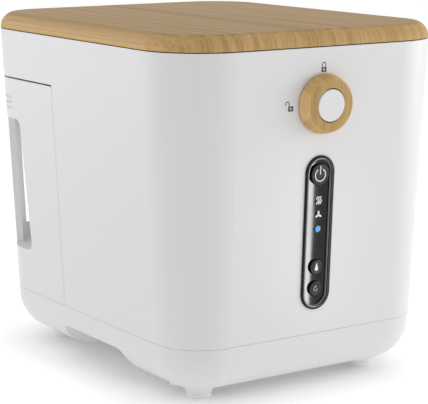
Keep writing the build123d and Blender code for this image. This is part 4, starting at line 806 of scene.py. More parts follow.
WHITE_SHELL = Moulded("white_shell", (0.84, 0.84, 0.845), 0.36, edge=0.45, texture=0.004, mottle=0.006)
WHITE_CAP = Moulded("white_cap", (0.86, 0.86, 0.865), 0.3, edge=0.3, texture=0.002, mottle=0.004)
LID_WOOD = Laminated("lid_bamboo", Fibre.FRONT_TO_BACK, 5.6, (0.345, 0.20, 0.073), (0.69, 0.465, 0.215))
KNOB_WOOD = Laminated("knob_bamboo", Fibre.UPRIGHT, 6.1, (0.41, 0.245, 0.088), (0.76, 0.515, 0.24), seed=41.3)
PANEL_BLACK = GlossBlack("panel_black", (0.005, 0.005, 0.0055), 0.055, mirror=0.25, ripple=0.0004)
RIM_BLACK = GlossBlack("rim_black", (0.010, 0.010, 0.011), 0.24, edge=0.5, mirror=0.14)
KEY_BLACK = GlossBlack("key_black", (0.010, 0.010, 0.011), 0.3, edge=0.3, mirror=0.2)
SATIN_BLACK = Moulded("satin_black", (0.022, 0.022, 0.024), 0.42, texture=0.01)
RUBBER = Moulded("foot_rubber", (0.82, 0.82, 0.82), 0.62, edge=0.6, texture=0.02, mottle=0.03)
SILICONE = Moulded("seal_silicone", (0.62, 0.62, 0.60), 0.55, edge=0.5, texture=0.01, mottle=0.03)
GREY_PLASTIC = Moulded("grey_plastic", (0.46, 0.47, 0.48), 0.46, texture=0.012, mottle=0.02)
GEAR_PLASTIC = Moulded("gear_acetal", (0.80, 0.77, 0.68), 0.38, edge=0.15, texture=0.004, mottle=0.03)
STEEL = Metal("rolled_steel", (0.62, 0.62, 0.63), 0.3)
BRUSHED_STEEL = Metal("brushed_steel", (0.64, 0.64, 0.65), 0.3, Grain.BRUSHED)
ALUMINIUM = Metal("satin_aluminium", (0.72, 0.73, 0.74), 0.36, Grain.BRUSHED)
CAST_ALLOY = Metal("cast_alloy", (0.55, 0.56, 0.57), 0.5, Grain.CAST, depth=0.03)
BRONZE = Metal("sintered_bronze", (0.62, 0.40, 0.17), 0.46, Grain.CAST, depth=0.02)
NONSTICK = Metal("nonstick_coat", (0.055, 0.055, 0.058), 0.38, Grain.CAST, depth=0.012, metallic=0.35,
                 speck=0.5)
MOTOR_PAINT = Metal("plated_can", (0.46, 0.46, 0.44), 0.4, Grain.BRUSHED, metallic=0.9)
FELT = Fibrous("felt", (0.22, 0.20, 0.17), (0.52, 0.49, 0.43), 0.7, 0.3)
CHARCOAL = Fibrous("charcoal", (0.006, 0.006, 0.006), (0.05, 0.05, 0.052), 2.2, 0.8)
BOARD_GREEN = Circuit("circuit_green", (0.012, 0.11, 0.045), 1.6)
DARK_INK = Printed("dark_ink", (0.07, 0.07, 0.075))
WHITE_INK = Printed("white_ink", (0.82, 0.83, 0.85), glow=0.12)
PALE_INK = Printed("pale_ink", (0.46, 0.47, 0.49))
FROST_INK = Printed("frost_ink", (0.10, 0.40, 0.78), glow=0.6)
# Pale colour that paints the highlight line along the bezel's inner edge, fading out towards the right.
RIM_HIGHLIGHT_PAINT = Moulded("rim_highlight_paint", (0.80, 0.805, 0.81), 0.3, edge=0.1, texture=0.001, mottle=0.02, fade=0.93)
# Grey colour that paints the highlight line on the bezel's inner wall.
WALL_HIGHLIGHT_PAINT = Moulded("wall_highlight_paint", (0.36, 0.365, 0.37), 0.3, edge=0.15, texture=0.001, mottle=0.02)
PIPES = Lamp("smoked_pipes", (1.2, -159.0, 135.9), 3.6, (0.03, 0.2, 0.6), 0.7)

NODE_FINISHES = {
    WHITE_SHELL: ("main_shell", "base_tray", "drawer_shell"),
    WHITE_CAP: ("knob_cap",),
    LID_WOOD: ("lid_board",),
    KNOB_WOOD: ("knob_ring",),
    PANEL_BLACK: ("control_panel",),
    RIM_BLACK: ("control_bezel",),
    KEY_BLACK: ("power_button", "drop_button", "timer_button"),
    PIPES: ("indicator_lamps",),
    SATIN_BLACK: ("fan_frame", "fan_impeller", "knob_bush", "knob_hub", "power_inlet"),
    RUBBER: ("rubber_feet",),
    SILICONE: ("lid_gasket",),
    GREY_PLASTIC: ("air_duct", "bay_floor", "drawer_runners", "filter_cases", "filter_grids", "gearbox_cover",
                   "gearbox_housing", "lid_liner", "outlet_duct", "top_deck"),
    GEAR_PLASTIC: ("idler_gear", "output_gear"),
    STEEL: ("agitator_shaft", "board_screws", "casing_screws", "chassis_plate", "chassis_screws",
            "heater_ring", "idler_axle", "knob_spindle", "latch_cam", "lid_screws", "lid_strike",
            "motor_pinion", "output_shaft", "thermostat"),
    BRUSHED_STEEL: ("hinge_body_leaves", "hinge_lid_leaves", "hinge_pins"),
    ALUMINIUM: ("bin_well", "heater_plate"),
    CAST_ALLOY: ("drive_coupling",),
    BRONZE: ("bin_bush", "output_bearings"),
    NONSTICK: ("agitator", "food_bin"),
    MOTOR_PAINT: ("motor_case",),
    FELT: ("well_insulation",),
    CHARCOAL: ("carbon_beds",),
    BOARD_GREEN: ("control_board", "power_board"),
}


class FinishBook:
    """Materials made so far, one for each finish."""

    def __init__(self) -> None:
        """Start empty."""
        self.made: dict[object, bpy.types.Material] = {}

    def get(self, finish: object) -> bpy.types.Material:
        """Paint a finish the first time it is asked for.

        Args:
            finish: The finish.

        Returns:
            Its material.
        """
        if finish not in self.made:
            self.made[finish] = finish.paint()
        return self.made[finish]

    def dress_nodes(self) -> None:
        """Give every carried-over node its finish."""
        for finish, names in NODE_FINISHES.items():
            for name in names:
                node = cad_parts[name]
                node.data.materials.clear()
                node.data.materials.append(self.get(finish))
                LOG.info("node %s: %s", name, finish.name)


BOOK = FinishBook()


# ---- Shaping ----
def lean(z: float) -> float:
    """How far the body's sides have moved in at a height."""
    return (LID_SEAT - z) * math.tan(DRAFT)


def front_matrix(z: float, x: float = 0.0, lift: float = 0.0) -> Matrix:
    """Frame on the drafted front face.

    Args:
        z: Height of its origin.
        x: Place of its origin across the face.
        lift: Distance in front of the face.

    Returns:
        A matrix whose x runs right, y up the face and z out of it.
    """
    normal = Vector((0.0, -math.cos(DRAFT), -math.sin(DRAFT)))
    up = Vector((0.0, -math.sin(DRAFT), math.cos(DRAFT)))
    origin = Vector((x, lean(z) - BODY_DEPTH / 2, z)) + normal * lift
    turned = Matrix((Vector((1.0, 0.0, 0.0)), up, normal)).transposed().to_4x4()
    return Matrix.Translation(origin) @ turned


def spoke(length: float, degrees: float) -> Point:
    """Point at a distance from the origin, in a direction counted from the x axis."""
    angle = math.radians(degrees)
    return length * math.cos(angle), length * math.sin(angle)


def shown(name: str, data: bpy.types.ID) -> bpy.types.Object:
    """Show a mesh, lamp or camera in the scene.

    Args:
        name: The object's name.
        data: What it holds.

    Returns:
        The object.
    """
    made = bpy.data.objects.new(name, data)
    bpy.context.scene.collection.objects.link(made)
    return made


class Blank:
    """A mesh in the making, shaped by operators and finished as one piece."""

    def __init__(self) -> None:
        """Start with no geometry."""
        self.mesh = bmesh.new()

    def outline(self, width: float, depth: float, corner: float, segments: int = 16,
                centre: Point = (0.0, 0.0)) -> bmesh.types.BMFace:
        """Add a flat rounded rectangle.

        Args:
            width: Size along x.
            depth: Size along y.
            corner: Corner radius.
            segments: Steps in each corner.
            centre: Its middle.

        Returns:
            Its face, which looks up.
        """
        half_x, half_y = width / 2, depth / 2
        places = [(-half_x, -half_y), (half_x, -half_y), (half_x, half_y), (-half_x, half_y)]
        verts = [self.mesh.verts.new((x + centre[0], y + centre[1], 0.0)) for x, y in places]
        known = set(self.mesh.faces)
        face = self.mesh.faces.new(verts)
        if corner > 0.0:
            self._bevel(verts, corner, segments, "VERTICES")
            fresh = [item for item in self.mesh.faces if item not in known]
            face = max(fresh, key=lambda item: item.calc_area())
        return face

    def _bevel(self, geom: Sequence, offset: float, segments: int, affect: str) -> None:
        """Round corners or edges."""
        bmesh.ops.bevel(self.mesh, geom=geom, offset=offset, offset_type="OFFSET", segments=segments,
                        profile=0.5, affect=affect, material=-1)

    def _lift(self, faces: Sequence[bmesh.types.BMFace], height: float) -> list[bmesh.types.BMFace]:
        """Pull a copy of some faces up, with walls to where they were.

        Args:
            faces: The faces, which stay as the foot.
            height: Height of the copy above them.

        Returns:
            The copies.
        """
        grown = bmesh.ops.extrude_face_region(self.mesh, geom=faces)["geom"]
        raised = [item for item in grown if isinstance(item, bmesh.types.BMVert)]
        bmesh.ops.translate(self.mesh, vec=(0.0, 0.0, height), verts=raised)
        return [item for item in grown if isinstance(item, bmesh.types.BMFace)]

    def climb(self, face: bmesh.types.BMFace, profile: Sequence[Point]) -> None:
        """Raise a face along a profile, as a solid with that face's copy at its foot.

        Args:
            face: The foot, which looks up.
            profile: Insets and heights, each counted from the foot. The inset changes at every step.
        """
        inset, height = profile[0]
        top = self._lift([face], height)[0]
        for next_inset, next_height in profile[1:]:
            bmesh.ops.inset_individual(self.mesh, faces=[top], thickness=next_inset - inset,
                                       depth=next_height - height, use_even_offset=True)
            inset, height = next_inset, next_height

    def bar(self, start: Point, end: Point, width: float, thickness: float) -> None:
        """Add a round-ended stroke.

        Args:
            start: Middle of its first round end.
            end: Middle of its other round end.
            width: Width of the stroke.
            thickness: Height of the stroke.
        """
        run = Vector((end[0] - start[0], end[1] - start[1]))
        known = set(self.mesh.verts)
        self._lift([self._capsule(run.length + width, width, BAR_STEPS)], thickness)
        fresh = [vert for vert in self.mesh.verts if vert not in known]
        turn = Matrix.Rotation(math.atan2(run.y, run.x), 4, "Z")
        middle = Matrix.Translation(((start[0] + end[0]) / 2, (start[1] + end[1]) / 2, 0.0))
        bmesh.ops.transform(self.mesh, matrix=middle @ turn, verts=fresh)

    def _capsule(self, length: float, width: float, steps: int) -> bmesh.types.BMFace:
        """Flat capsule round the origin, whose ends stay a hair short of half circles."""
        return self.outline(length, width, width / 2 * CAPSULE_CORNER, steps)

    def ring(self, inner: bmesh.types.BMFace, stroke: float, thickness: float) -> None:
        """Turn a flat face into a raised ring along its border.

        Args:
            inner: The face.
            stroke: Width of the ring.
            thickness: Height of the ring.
        """
        bmesh.ops.inset_individual(self.mesh, faces=[inner], thickness=stroke, use_even_offset=True)
        bmesh.ops.delete(self.mesh, geom=[inner], context="FACES_ONLY")
        self._lift(self.mesh.faces[:], thickness)

    def trim_front(self, start: float) -> None:
        """Cut away all that lies in front of a place along y, and close the cuts.

        Args:
            start: Place of the cut.
        """
        everything = [*self.mesh.verts, *self.mesh.edges, *self.mesh.faces]
        cut = bmesh.ops.bisect_plane(self.mesh, geom=everything, plane_co=(0.0, start, 0.0),
                                     plane_no=(0.0, -1.0, 0.0), clear_outer=True)["geom_cut"]
        edges = [item for item in cut if isinstance(item, bmesh.types.BMEdge)]
        if edges:
            bmesh.ops.holes_fill(self.mesh, edges=edges, sides=0)

    def band(self, length: float, width: float, stroke: float, thickness: float) -> None:
        """Add a capsule-shaped ring with a rounded top.

        Args:
            length: Length of the capsule along x.
            width: Width of the capsule.
            stroke: Width of the ring.
            thickness: Height of the ring.
        """
        self.ring(self._capsule(length, width, BAND_STEPS), stroke, thickness)
        rims = [edge for edge in self.mesh.edges
                if all(vert.co.z > thickness / 2 for vert in edge.verts) and len(edge.link_faces) == 2
                and any(abs(face.normal.z) < 0.5 for face in edge.link_faces)]
        self._bevel(rims, stroke * 0.4, 3, "EDGES")

    def arc(self, centre: Point, radius: float, width: float, start: float, sweep: float,
            thickness: float) -> None:
        """Add a curved stroke that stays short of a full turn.

        Args:
            centre: Middle of its circle.
            radius: Radius of its middle line.
            width: Width of the stroke.
            start: Angle of its first end, in degrees.
            sweep: Angle that it covers, in degrees.
            thickness: Height of the stroke.
        """
        first = math.radians(start)
        ends = [self.mesh.verts.new((centre[0] + r * math.cos(first), centre[1] + r * math.sin(first), 0.0))
                for r in (radius - width / 2, radius + width / 2)]
        edge = self.mesh.edges.new(ends)
        known = set(self.mesh.faces)
        bmesh.ops.spin(self.mesh, geom=[*ends, edge], cent=(*centre, 0.0), axis=(0.0, 0.0, 1.0),
                       angle=math.radians(sweep), steps=int(abs(sweep) / ARC_STEP))
        self._lift([item for item in self.mesh.faces if item not in known], thickness)

    def disc(self, centre: Point, radius: float, thickness: float) -> None:
        """Add a raised round dot.

        Args:
            centre: Its middle.
            radius: Its radius.
            thickness: Its height.
        """
        made = bmesh.ops.create_circle(self.mesh, cap_ends=True, segments=DISC_STEPS, radius=radius)["verts"]
        bmesh.ops.translate(self.mesh, vec=(*centre, 0.0), verts=made)
        self._lift(made[0].link_faces[:], thickness)

    def plate(self, width: float, height: float, centre: Point, corner: float, thickness: float) -> None:
        """Add a raised rounded rectangle."""
        self._lift([self.outline(width, height, corner, PLATE_STEPS, centre)], thickness)

    def lathe(self, profile: Sequence[Point]) -> None:
        """Turn a profile round the z axis.

        Args:
            profile: Its radii and heights.
        """
        verts = [self.mesh.verts.new((radius, 0.0, height)) for radius, height in profile]
        edges = [self.mesh.edges.new(pair) for pair in zip(verts, verts[1:])]
        bmesh.ops.spin(self.mesh, geom=[*verts, *edges], cent=(0.0, 0.0, 0.0), axis=(0.0, 0.0, 1.0),
                       angle=2.0 * math.pi, steps=LATHE_STEPS, use_merge=True)

    def finish(self, name: str, finish: object, body: str, matrix: Matrix, slot: str,
               replaces: Sequence[str] = (), sharp: float = 28.0) -> None:
        """Turn the blank into a finished piece.

        Args:
            name: The piece's name.
            finish: Its finish.
            body: The body that it rides on.
            matrix: Its place, in millimetres.
            slot: The record's material slot; not used.
            replaces: Nodes that it stands for.
            sharp: Angle in degrees past which an edge stays sharp.
        """
        bmesh.ops.remove_doubles(self.mesh, verts=self.mesh.verts[:], dist=WELD)
        bmesh.ops.recalc_face_normals(self.mesh, faces=self.mesh.faces[:])
        bmesh.ops.transform(self.mesh, matrix=Matrix.Scale(MM, 4) @ matrix, verts=self.mesh.verts[:])
        for face in self.mesh.faces:
            face.smooth = True
        for edge in self.mesh.edges:
            edge.smooth = edge.is_manifold and edge.calc_face_angle(0.0) < math.radians(sharp)
        data = bpy.data.meshes.new(name)
        self.mesh.to_mesh(data)
        self.mesh.free()
        data.materials.append(BOOK.get(finish))
        piece = shown(name, data)
        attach(piece, body)
        if replaces:
            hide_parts(*replaces)
        LOG.info("piece %s: %d faces, rides on %s", name, len(data.polygons), body)


# ---- Lid ----
@dataclass
class Lid:
    """The wooden board over the bin.

    Attributes:
        thickness: Height of the board.
        edge_inset: How far its rounded edge comes in.
        foot_round: Small round at the lower edge.
        crease: Small round where the edge meets the top.
        steps: Steps of the edge's curve.
        ease: Shares of the curve's last step, inwards and upwards, that the crease takes.
    """

    thickness: float = 12.8
    edge_inset: float = 9.4
    foot_round: float = 0.35
    crease: float = 0.5
    steps: int = 14
    ease: Point = (0.28, 0.24)

    def profile(self) -> list[Point]:
        """Draw the edge.

        Returns:
            Insets and heights, from its lowest line to the top face.
        """
        sweep = 2.0 * math.atan(self.edge_inset / self.thickness)
        radius = self.thickness / math.sin(sweep)
        points = [(0.0, self.foot_round)]
        for step in range(1, self.steps):
            angle = sweep * step / self.steps
            points.append((radius * (1.0 - math.cos(angle)), radius * math.sin(angle)))
        last = points[-1]
        end = (self.edge_inset, self.thickness)
        points.append(tuple(far - (far - near) * share for far, near, share in zip(end, last, self.ease)))
        points.append((end[0] + self.crease * 0.5, end[1] - 0.03))
        points.append((end[0] + self.crease * 1.6, end[1]))
        return points

    def build(self) -> None:
        """Make the board."""
        blank = Blank()
        inset = self.foot_round * 0.4
        foot = blank.outline(BODY_WIDTH - 2 * inset, BODY_DEPTH - 2 * inset, CORNER - inset, CORNER_STEPS)
        blank.climb(foot, [(inset, self.foot_round), *self.profile()[1:]])
        place = Matrix.Translation((0.0, 0.0, LID_SEAT))
        blank.finish("lid_board_oiled", LID_WOOD, "lid", place, "wood", ["lid_board"], sharp=50.0)


@dataclass
class SeamLip:
    """Moulded lip that fills a seam of the casing just behind the surface.

    Attributes:
        name: Its name.
        height: Middle of the seam.
        start: Where it ends towards the front.
        rise: Height of the lip.
        drop: Depth of the lip behind the surface.
        thickness: Thickness of the lip.
    """

    name: str
    height: float
    start: float = -BODY_DEPTH
    rise: float = 0.38
    drop: float = 0.24
    thickness: float = 1.2

    def build(self) -> None:
        """Make the lip."""
        blank = Blank()
        inset = lean(self.height) + self.drop
        face = blank.outline(BODY_WIDTH - 2 * inset, BODY_DEPTH - 2 * inset, CORNER - inset, CORNER_STEPS)
        blank.ring(face, self.thickness, self.rise)
        blank.trim_front(self.start)
        place = Matrix.Translation((0.0, 0.0, self.height - self.rise / 2))
        blank.finish(self.name, WHITE_SHELL, "housing", place, "white_shell")


@dataclass
class VentScreen:
    """Fine upright bars behind the drawer's vent rows.

    Attributes:
        rows: Heights of the rows' middles.
        rise: Height of a bar.
        bar: Width of a bar along the wall.
        pitch: Spacing of the bars.
        drop: Depth of the bars behind the surface.
        depth: Thickness of a bar.
        start: Where the rows end towards the front.
    """

    rows: tuple[float, float, float] = (213.5, 218.3, 223.0)
    rise: float = 2.9
    bar: float = 0.95
    pitch: float = 1.3
    drop: float = 0.35
    depth: float = 0.9
    start: float = 112.5

    def _path(self, inset: float) -> list[Xyz]:
        """Spread the bars round the back.

        Args:
            inset: Inset of their middle line from the widest outline.

        Returns:
            Place along x and y and turn of each bar.
        """
        half_x, half_y, corner = BODY_WIDTH / 2 - inset, BODY_DEPTH / 2 - inset, CORNER - inset
        straight, quarter = half_y - corner - self.start, corner * math.pi / 2
        across = 2.0 * (half_x - corner)
        places = []
        for index in range(int((2 * straight + 2 * quarter + across) / self.pitch)):
            run = index * self.pitch
            if run > straight + quarter + across / 2:
                run = 2 * straight + 2 * quarter + across - run
                side = 1.0
            else:
                side = -1.0
            if run < straight:
                x, y, turn = half_x, self.start + run, 0.0
            elif run < straight + quarter:
                turn = (run - straight) / corner
                x = half_x - corner + corner * math.cos(turn)
                y = half_y - corner + corner * math.sin(turn)
            else:
                turn = math.pi / 2
                x, y = half_x - corner - (run - straight - quarter), half_y
            places.append((side * x, y, turn if side > 0 else math.pi - turn))
        return places

    def build(self) -> None:
        """Make every bar."""
        blank = Blank()
        for row in self.rows:
            for x, y, turn in self._path(lean(row) + self.drop + self.depth / 2):
                made = bmesh.ops.create_cube(blank.mesh, size=1.0)["verts"]
                place = Matrix.Translation((x, y, row)) @ Matrix.Rotation(turn, 4, "Z")
                size = Matrix.Diagonal((self.depth, self.bar, self.rise, 1.0))
                bmesh.ops.transform(blank.mesh, matrix=place @ size, verts=made)
        blank.finish("vent_screen", WHITE_SHELL, "drawer", Matrix.Identity(4), "white_shell")


# ---- Marks ----
@dataclass
class KnobMarks:
    """Closed and open padlocks printed above and beside the knob.

    Attributes:
        closed_z: Height of the closed padlock.
        open_x: Place of the open padlock across the face.
        open_z: Height of the open padlock.
        ink: Thickness of the print.
        body: Width of a padlock's body.
        rails: Heights of the body's lower and upper rail.
        rail: Height of a rail.
        rail_corner: Corner radius of a rail.
        post: Width and height of the posts beside the keyhole.
        post_corner: Corner radius of a post.
        shackle: Radius of the shackle.
        stroke: Width of the shackle's stroke.
        bend_z: Height at which the shackle starts to bend.
        foot_z: Height of the shackle's foot.
        open_foot_z: Height of its free end when it is open.
        swing: How far the open shackle stands to the left.
    """

    closed_z: float = 262.6
    open_x: float = -30.9
    open_z: float = 233.6
    ink: float = 0.06
    body: float = 4.9
    rails: Point = (0.62, 3.38)
    rail: float = 1.25
    rail_corner: float = 0.3
    post: Point = (1.7, 1.6)
    post_corner: float = 0.1
    shackle: float = 1.65
    stroke: float = 0.75
    bend_z: float = 6.0
    foot_z: float = 4.2
    open_foot_z: float = 5.2
    swing: float = 3.2

    def padlock(self, closed: bool) -> Blank:
        """Draw one padlock whose body stands on the origin.

        Args:
            closed: Whether its shackle is shut.

        Returns:
            The drawn blank.
        """
        blank = Blank()
        for z in self.rails:
            blank.plate(self.body, self.rail, (0.0, z), self.rail_corner, self.ink)
        for side in (-1, 1):
            x = side * (self.body - self.post[0]) / 2
            blank.plate(*self.post, (x, sum(self.rails) / 2), self.post_corner, self.ink)
        middle, free_foot = (0.0, self.foot_z) if closed else (-self.swing, self.open_foot_z)
        blank.arc((middle, self.bend_z), self.shackle, self.stroke, 0.0, 180.0, self.ink)
        for x, foot in ((middle - self.shackle, free_foot), (middle + self.shackle, self.foot_z)):
            blank.bar((x, foot), (x, self.bend_z), self.stroke, self.ink)
        return blank

    def build(self) -> None:
        """Print both padlocks."""
        for name, closed, place in (("mark_locked", True, front_matrix(self.closed_z)),
                                    ("mark_unlocked", False, front_matrix(self.open_z, self.open_x))):
            self.padlock(closed).finish(name, DARK_INK, "housing", place, "black_satin")


@dataclass(frozen=True)
class Key:
    """A round push key.

    Attributes:
        body: Body that it moves with.
        height: Height of its middle.
        radius: Radius of its cap.
    """

    body: str
    height: float
    radius: float


POWER_KEY = Key("power_key", 180.9, 8.8)
DROP_KEY = Key("drop_key", 104.8, 6.1)
TIMER_KEY = Key("timer_key", 87.0, 6.1)


@dataclass
class ControlPanel:
    """Pale ring and grey step round the glass, whose colours are painted highlights on the bezel's inner edge
    and inner wall, and the caps of the keys.

    Attributes:
        middle: Height of the panel's middle.
        length: Length of the bezel.
        width: Width of the bezel.
        rim: Width of the bezel's rim.
        recess: Glass behind the casing's face.
        keys: The push keys.
        line: Width of the pale ring whose colour paints the highlight on the bezel's inner edge.
        overlap: How far that ring reaches into the rim.
        line_foot: Foot of that ring in front of the glass.
        line_height: Height of that ring.
        wall: Width of the step that holds the glass; its grey colour is a painted highlight on the bezel's
            inner wall.
        wall_gap: Gap between the step and the rim.
        wall_height: Height of that step.
        cap_height: Cap tops in front of the glass.
        cap_foot: Foot of the caps in front of the glass.
        cap_spare: How far a cap's side stands out from the key that it covers.
        dish: Depth of the caps' hollow.
        dish_steps: Steps of the hollow's curve.
        round: Radius of the caps' rim.
        round_steps: Steps of the rim's curve.
    """

    middle: float = 132.9
    length: float = 126.8
    width: float = 28.0
    rim: float = 2.8
    recess: float = 0.6
    keys: tuple[Key, ...] = (POWER_KEY, DROP_KEY, TIMER_KEY)
    line: float = 0.6
    overlap: float = 0.75
    line_foot: float = 1.95
    line_height: float = 0.52
    wall: float = 0.5
    wall_gap: float = 0.03
    wall_height: float = 1.5
    cap_height: float = 2.2
    cap_foot: float = 0.3
    cap_spare: float = 0.02
    dish: float = 0.35
    dish_steps: int = 8
    round: float = 0.6
    round_steps: int = 6

    def edge(self) -> None:
        """Make the pale ring and the grey step that run round the glass, whose colours paint the bezel's
        highlight lines.
        """
        # Both rings' colours are painted highlights: the pale ring on the bezel's inner edge, the grey step
        # on its inner wall.
        rings = (("panel_highlight_ring", RIM_HIGHLIGHT_PAINT, self.overlap, self.line, self.line_foot, self.line_height),
                 ("panel_step_highlight", WALL_HIGHLIGHT_PAINT, -self.wall_gap, self.wall, 0.0, self.wall_height))
        for name, finish, overlap, stroke, foot, height in rings:
            blank = Blank()
            spare = 2 * (self.rim - overlap)
            blank.band(self.length - spare, self.width - spare, stroke, height)
            upright = Matrix.Rotation(math.pi / 2, 4, "Z")
            place = front_matrix(self.middle, 0.0, foot - self.recess) @ upright
            blank.finish(name, finish, "housing", place, "black_gloss", sharp=40.0)

    def cap(self, key: Key) -> None:
        """Make one key's cap, hollowed where a finger rests.

        Args:
            key: The key that it covers.
        """
        radius, top = key.radius + self.cap_spare, self.cap_height
        profile = [(0.0, top - self.dish)]
        for step in range(1, self.dish_steps + 1):
            share = step / self.dish_steps
            profile.append(((radius - self.round) * share, top - self.dish * (1.0 - share ** 2)))
        for step in range(1, self.round_steps + 1):
            angle = math.pi / 2 * step / self.round_steps
            inwards, down = 1.0 - math.sin(angle), 1.0 - math.cos(angle)
            profile.append((radius - self.round * inwards, top - self.round * down))
        profile += [(radius, self.cap_foot), (0.0, self.cap_foot)]
        blank = Blank()
        blank.lathe(profile)
        blank.finish(f"{key.body}_cap", KEY_BLACK, key.body, front_matrix(key.height, 0.0, -self.recess),
                     "black_gloss", sharp=50.0)

    def build(self) -> None:
        """Make the edge and the caps."""
        self.edge()
        for key in self.keys:
            self.cap(key)


@dataclass
class PanelMarks:
    """Pictograms of the control panel.

    Attributes:
        panel: The panel that carries them.
        lamps: Heights of the drying, grinding and cooling marks.
        ink: Thickness of the print.
        shift: How far the lamps' marks stand to the right of the middle.
        bold: Width of the power mark's ring.
        stroke: Width of the waves.
        thin: Width of the snowflake's arms and the timer mark's ring.
        finest: Width of the snowflake's forks.
        ring: Radius of the power mark's ring.
        wave_pitch: Spacing of the waves of warm air.
        wave: Radius of a wave's bends.
        blade: Reach of a blade's axis, from the hub's middle.
        blade_width: Width of a blade.
        hub: Radius of the hub.
        arm: Length of the snowflake's arms.
        fork: Distance of the snowflake's forks from its middle.
        fork_angle: Angle between a fork and its arm, in degrees.
        turn: Radius of the timer mark's ring.
        head: Reach of the timer mark's arrow head.
    """

    panel: ControlPanel = field(default_factory=ControlPanel)
    lamps: tuple[float, float, float] = (159.3, 147.5, 135.9)
    ink: float = 0.08
    shift: float = 1.2
    bold: float = 0.85
    stroke: float = 0.75
    thin: float = 0.55
    finest: float = 0.5
    ring: float = 5.0
    wave_pitch: float = 1.75
    wave: float = 1.15
    blade: float = 2.5
    blade_width: float = 1.7
    hub: float = 0.8
    arm: float = 2.7
    fork: float = 1.4
    fork_angle: float = 50.0
    turn: float = 1.8
    head: float = 0.75

    def power(self) -> None:
        """Broken ring with an upright bar."""
        blank = Blank()
        blank.arc((0.0, -0.4), self.ring, self.bold, 119.0, 302.0, self.ink)
        blank.bar((0.0, 0.2), (0.0, 6.7), 0.8, self.ink)
        self._print(blank, "mark_power", WHITE_INK, POWER_KEY)

    def drying(self) -> None:
        """Three rising waves of warm air."""
        blank = Blank()
        for x in (-self.wave_pitch, 0.0, self.wave_pitch):
            blank.arc((x + 0.35, 1.75), self.wave, self.stroke, 70.0, 175.0, self.ink)
            blank.arc((x - 0.35, -0.55), self.wave, self.stroke, 65.0, -190.0, self.ink)
            blank.bar((x - 0.75, -2.95), (x - 0.2, -1.75), self.stroke, self.ink)
        blank.finish("mark_drying", WHITE_INK, "housing", self._lamp_place(0), "white_cap")

    def grinding(self) -> None:
        """Three broad blades round a hub."""
        blank = Blank()
        blank.disc((0.0, 0.0), self.hub, self.ink)
        for turn in (90.0, 210.0, 330.0):
            blank.bar(spoke(self.hub / 2, turn), spoke(self.blade, turn), self.blade_width, self.ink)
        blank.finish("mark_grinding", WHITE_INK, "housing", self._lamp_place(1), "white_cap")

    def cooling(self) -> None:
        """Six-armed snowflake."""
        blank = Blank()
        for turn in (90.0, 150.0, 210.0):
            x, y = spoke(self.arm, turn)
            blank.bar((-x, -y), (x, y), self.thin, self.ink)
        for turn in range(90, 450, 60):
            root = spoke(self.fork, turn)
            for side in (-1, 1):
                reach = spoke(1.0, turn + side * self.fork_angle)
                blank.bar(root, (root[0] + reach[0], root[1] + reach[1]), self.finest, self.ink)
        blank.finish("mark_cooling", FROST_INK, "housing", self._lamp_place(2), "lamp")

    def drop(self) -> None:
        """Tapered drop on the upper small key."""
        blank = Blank()
        blank.disc((0.0, -1.3), 1.7, self.ink)
        blank.bar((0.0, -0.7), (0.0, 1.3), 1.9, self.ink)
        blank.bar((0.0, 0.6), (0.1, 2.9), 0.9, self.ink)
        self._print(blank, "mark_drop", WHITE_INK, DROP_KEY)

    def timer(self) -> None:
        """Open ring with an arrow head."""
        blank = Blank()
        blank.arc((0.0, 0.0), self.turn, self.thin, 70.0, 290.0, self.ink)
        for y in (-self.head, self.head):
            blank.bar((0.0, 1.85 + y), (self.head, 1.85), 0.45, self.ink)
        self._print(blank, "mark_timer", PALE_INK, TIMER_KEY)

    def _lamp_place(self, index: int) -> Matrix:
        """Frame of a lamp's mark."""
        return front_matrix(self.lamps[index], self.shift, -self.panel.recess)

    def _print(self, blank: Blank, name: str, ink: Printed, key: Key) -> None:
        """Lay a drawn mark into the hollow of a key's cap.

        Args:
            blank: The drawn mark.
            name: Its name.
            ink: Its ink.
            key: The key that carries it.
        """
        reach = key.radius - self.panel.round
        for vert in blank.mesh.verts:
            vert.co.z += self.panel.dish * (vert.co.xy.length / reach) ** 2
        place = front_matrix(key.height, 0.0, self.panel.cap_height - self.panel.recess - self.panel.dish)
        blank.finish(name, ink, key.body, place, "white_cap")

    def build(self) -> None:
        """Print every pictogram."""
        self.power()
        self.drying()
        self.grinding()
        self.cooling()
        self.drop()
        self.timer()


# ---- Studio ----
def hang(name: str, size: Point, power: float, place: Matrix, shine_only: bool) -> None:
    """Hang a rectangular lamp that the camera doesn't see.

    Args:
        name: Its name.
        size: Its width and height in metres.
        power: Its power in watts.
        place: Its place in metres; it shines along its own -z.
        shine_only: Whether it shows in reflections alone.
    """
    data = bpy.data.lights.new(name, "AREA")
    data.shape = "RECTANGLE"
    data.size, data.size_y = size
    data.energy = power
    lamp = shown(name, data)
    lamp.matrix_world = place
    lamp.visible_camera = False
    lamp.visible_diffuse = not shine_only


@dataclass(frozen=True)
class Softbox:
    """A large area lamp.

    Attributes:
        name: Its name.
        place: Its place in metres.
        target: Where it points, in metres.
        size: Its width and height in metres.
        power: Its power in watts.
        shine_only: Whether it shows in reflections alone.
    """

    name: str
    place: Xyz
    target: Xyz
    size: Point
    power: float
    shine_only: bool = False

    def build(self) -> None:
        """Hang the lamp."""
        aim = Vector(self.target) - Vector(self.place)
        turned = aim.to_track_quat("-Z", "Y").to_matrix().to_4x4()
        hang(self.name, self.size, self.power, Matrix.Translation(self.place) @ turned, self.shine_only)


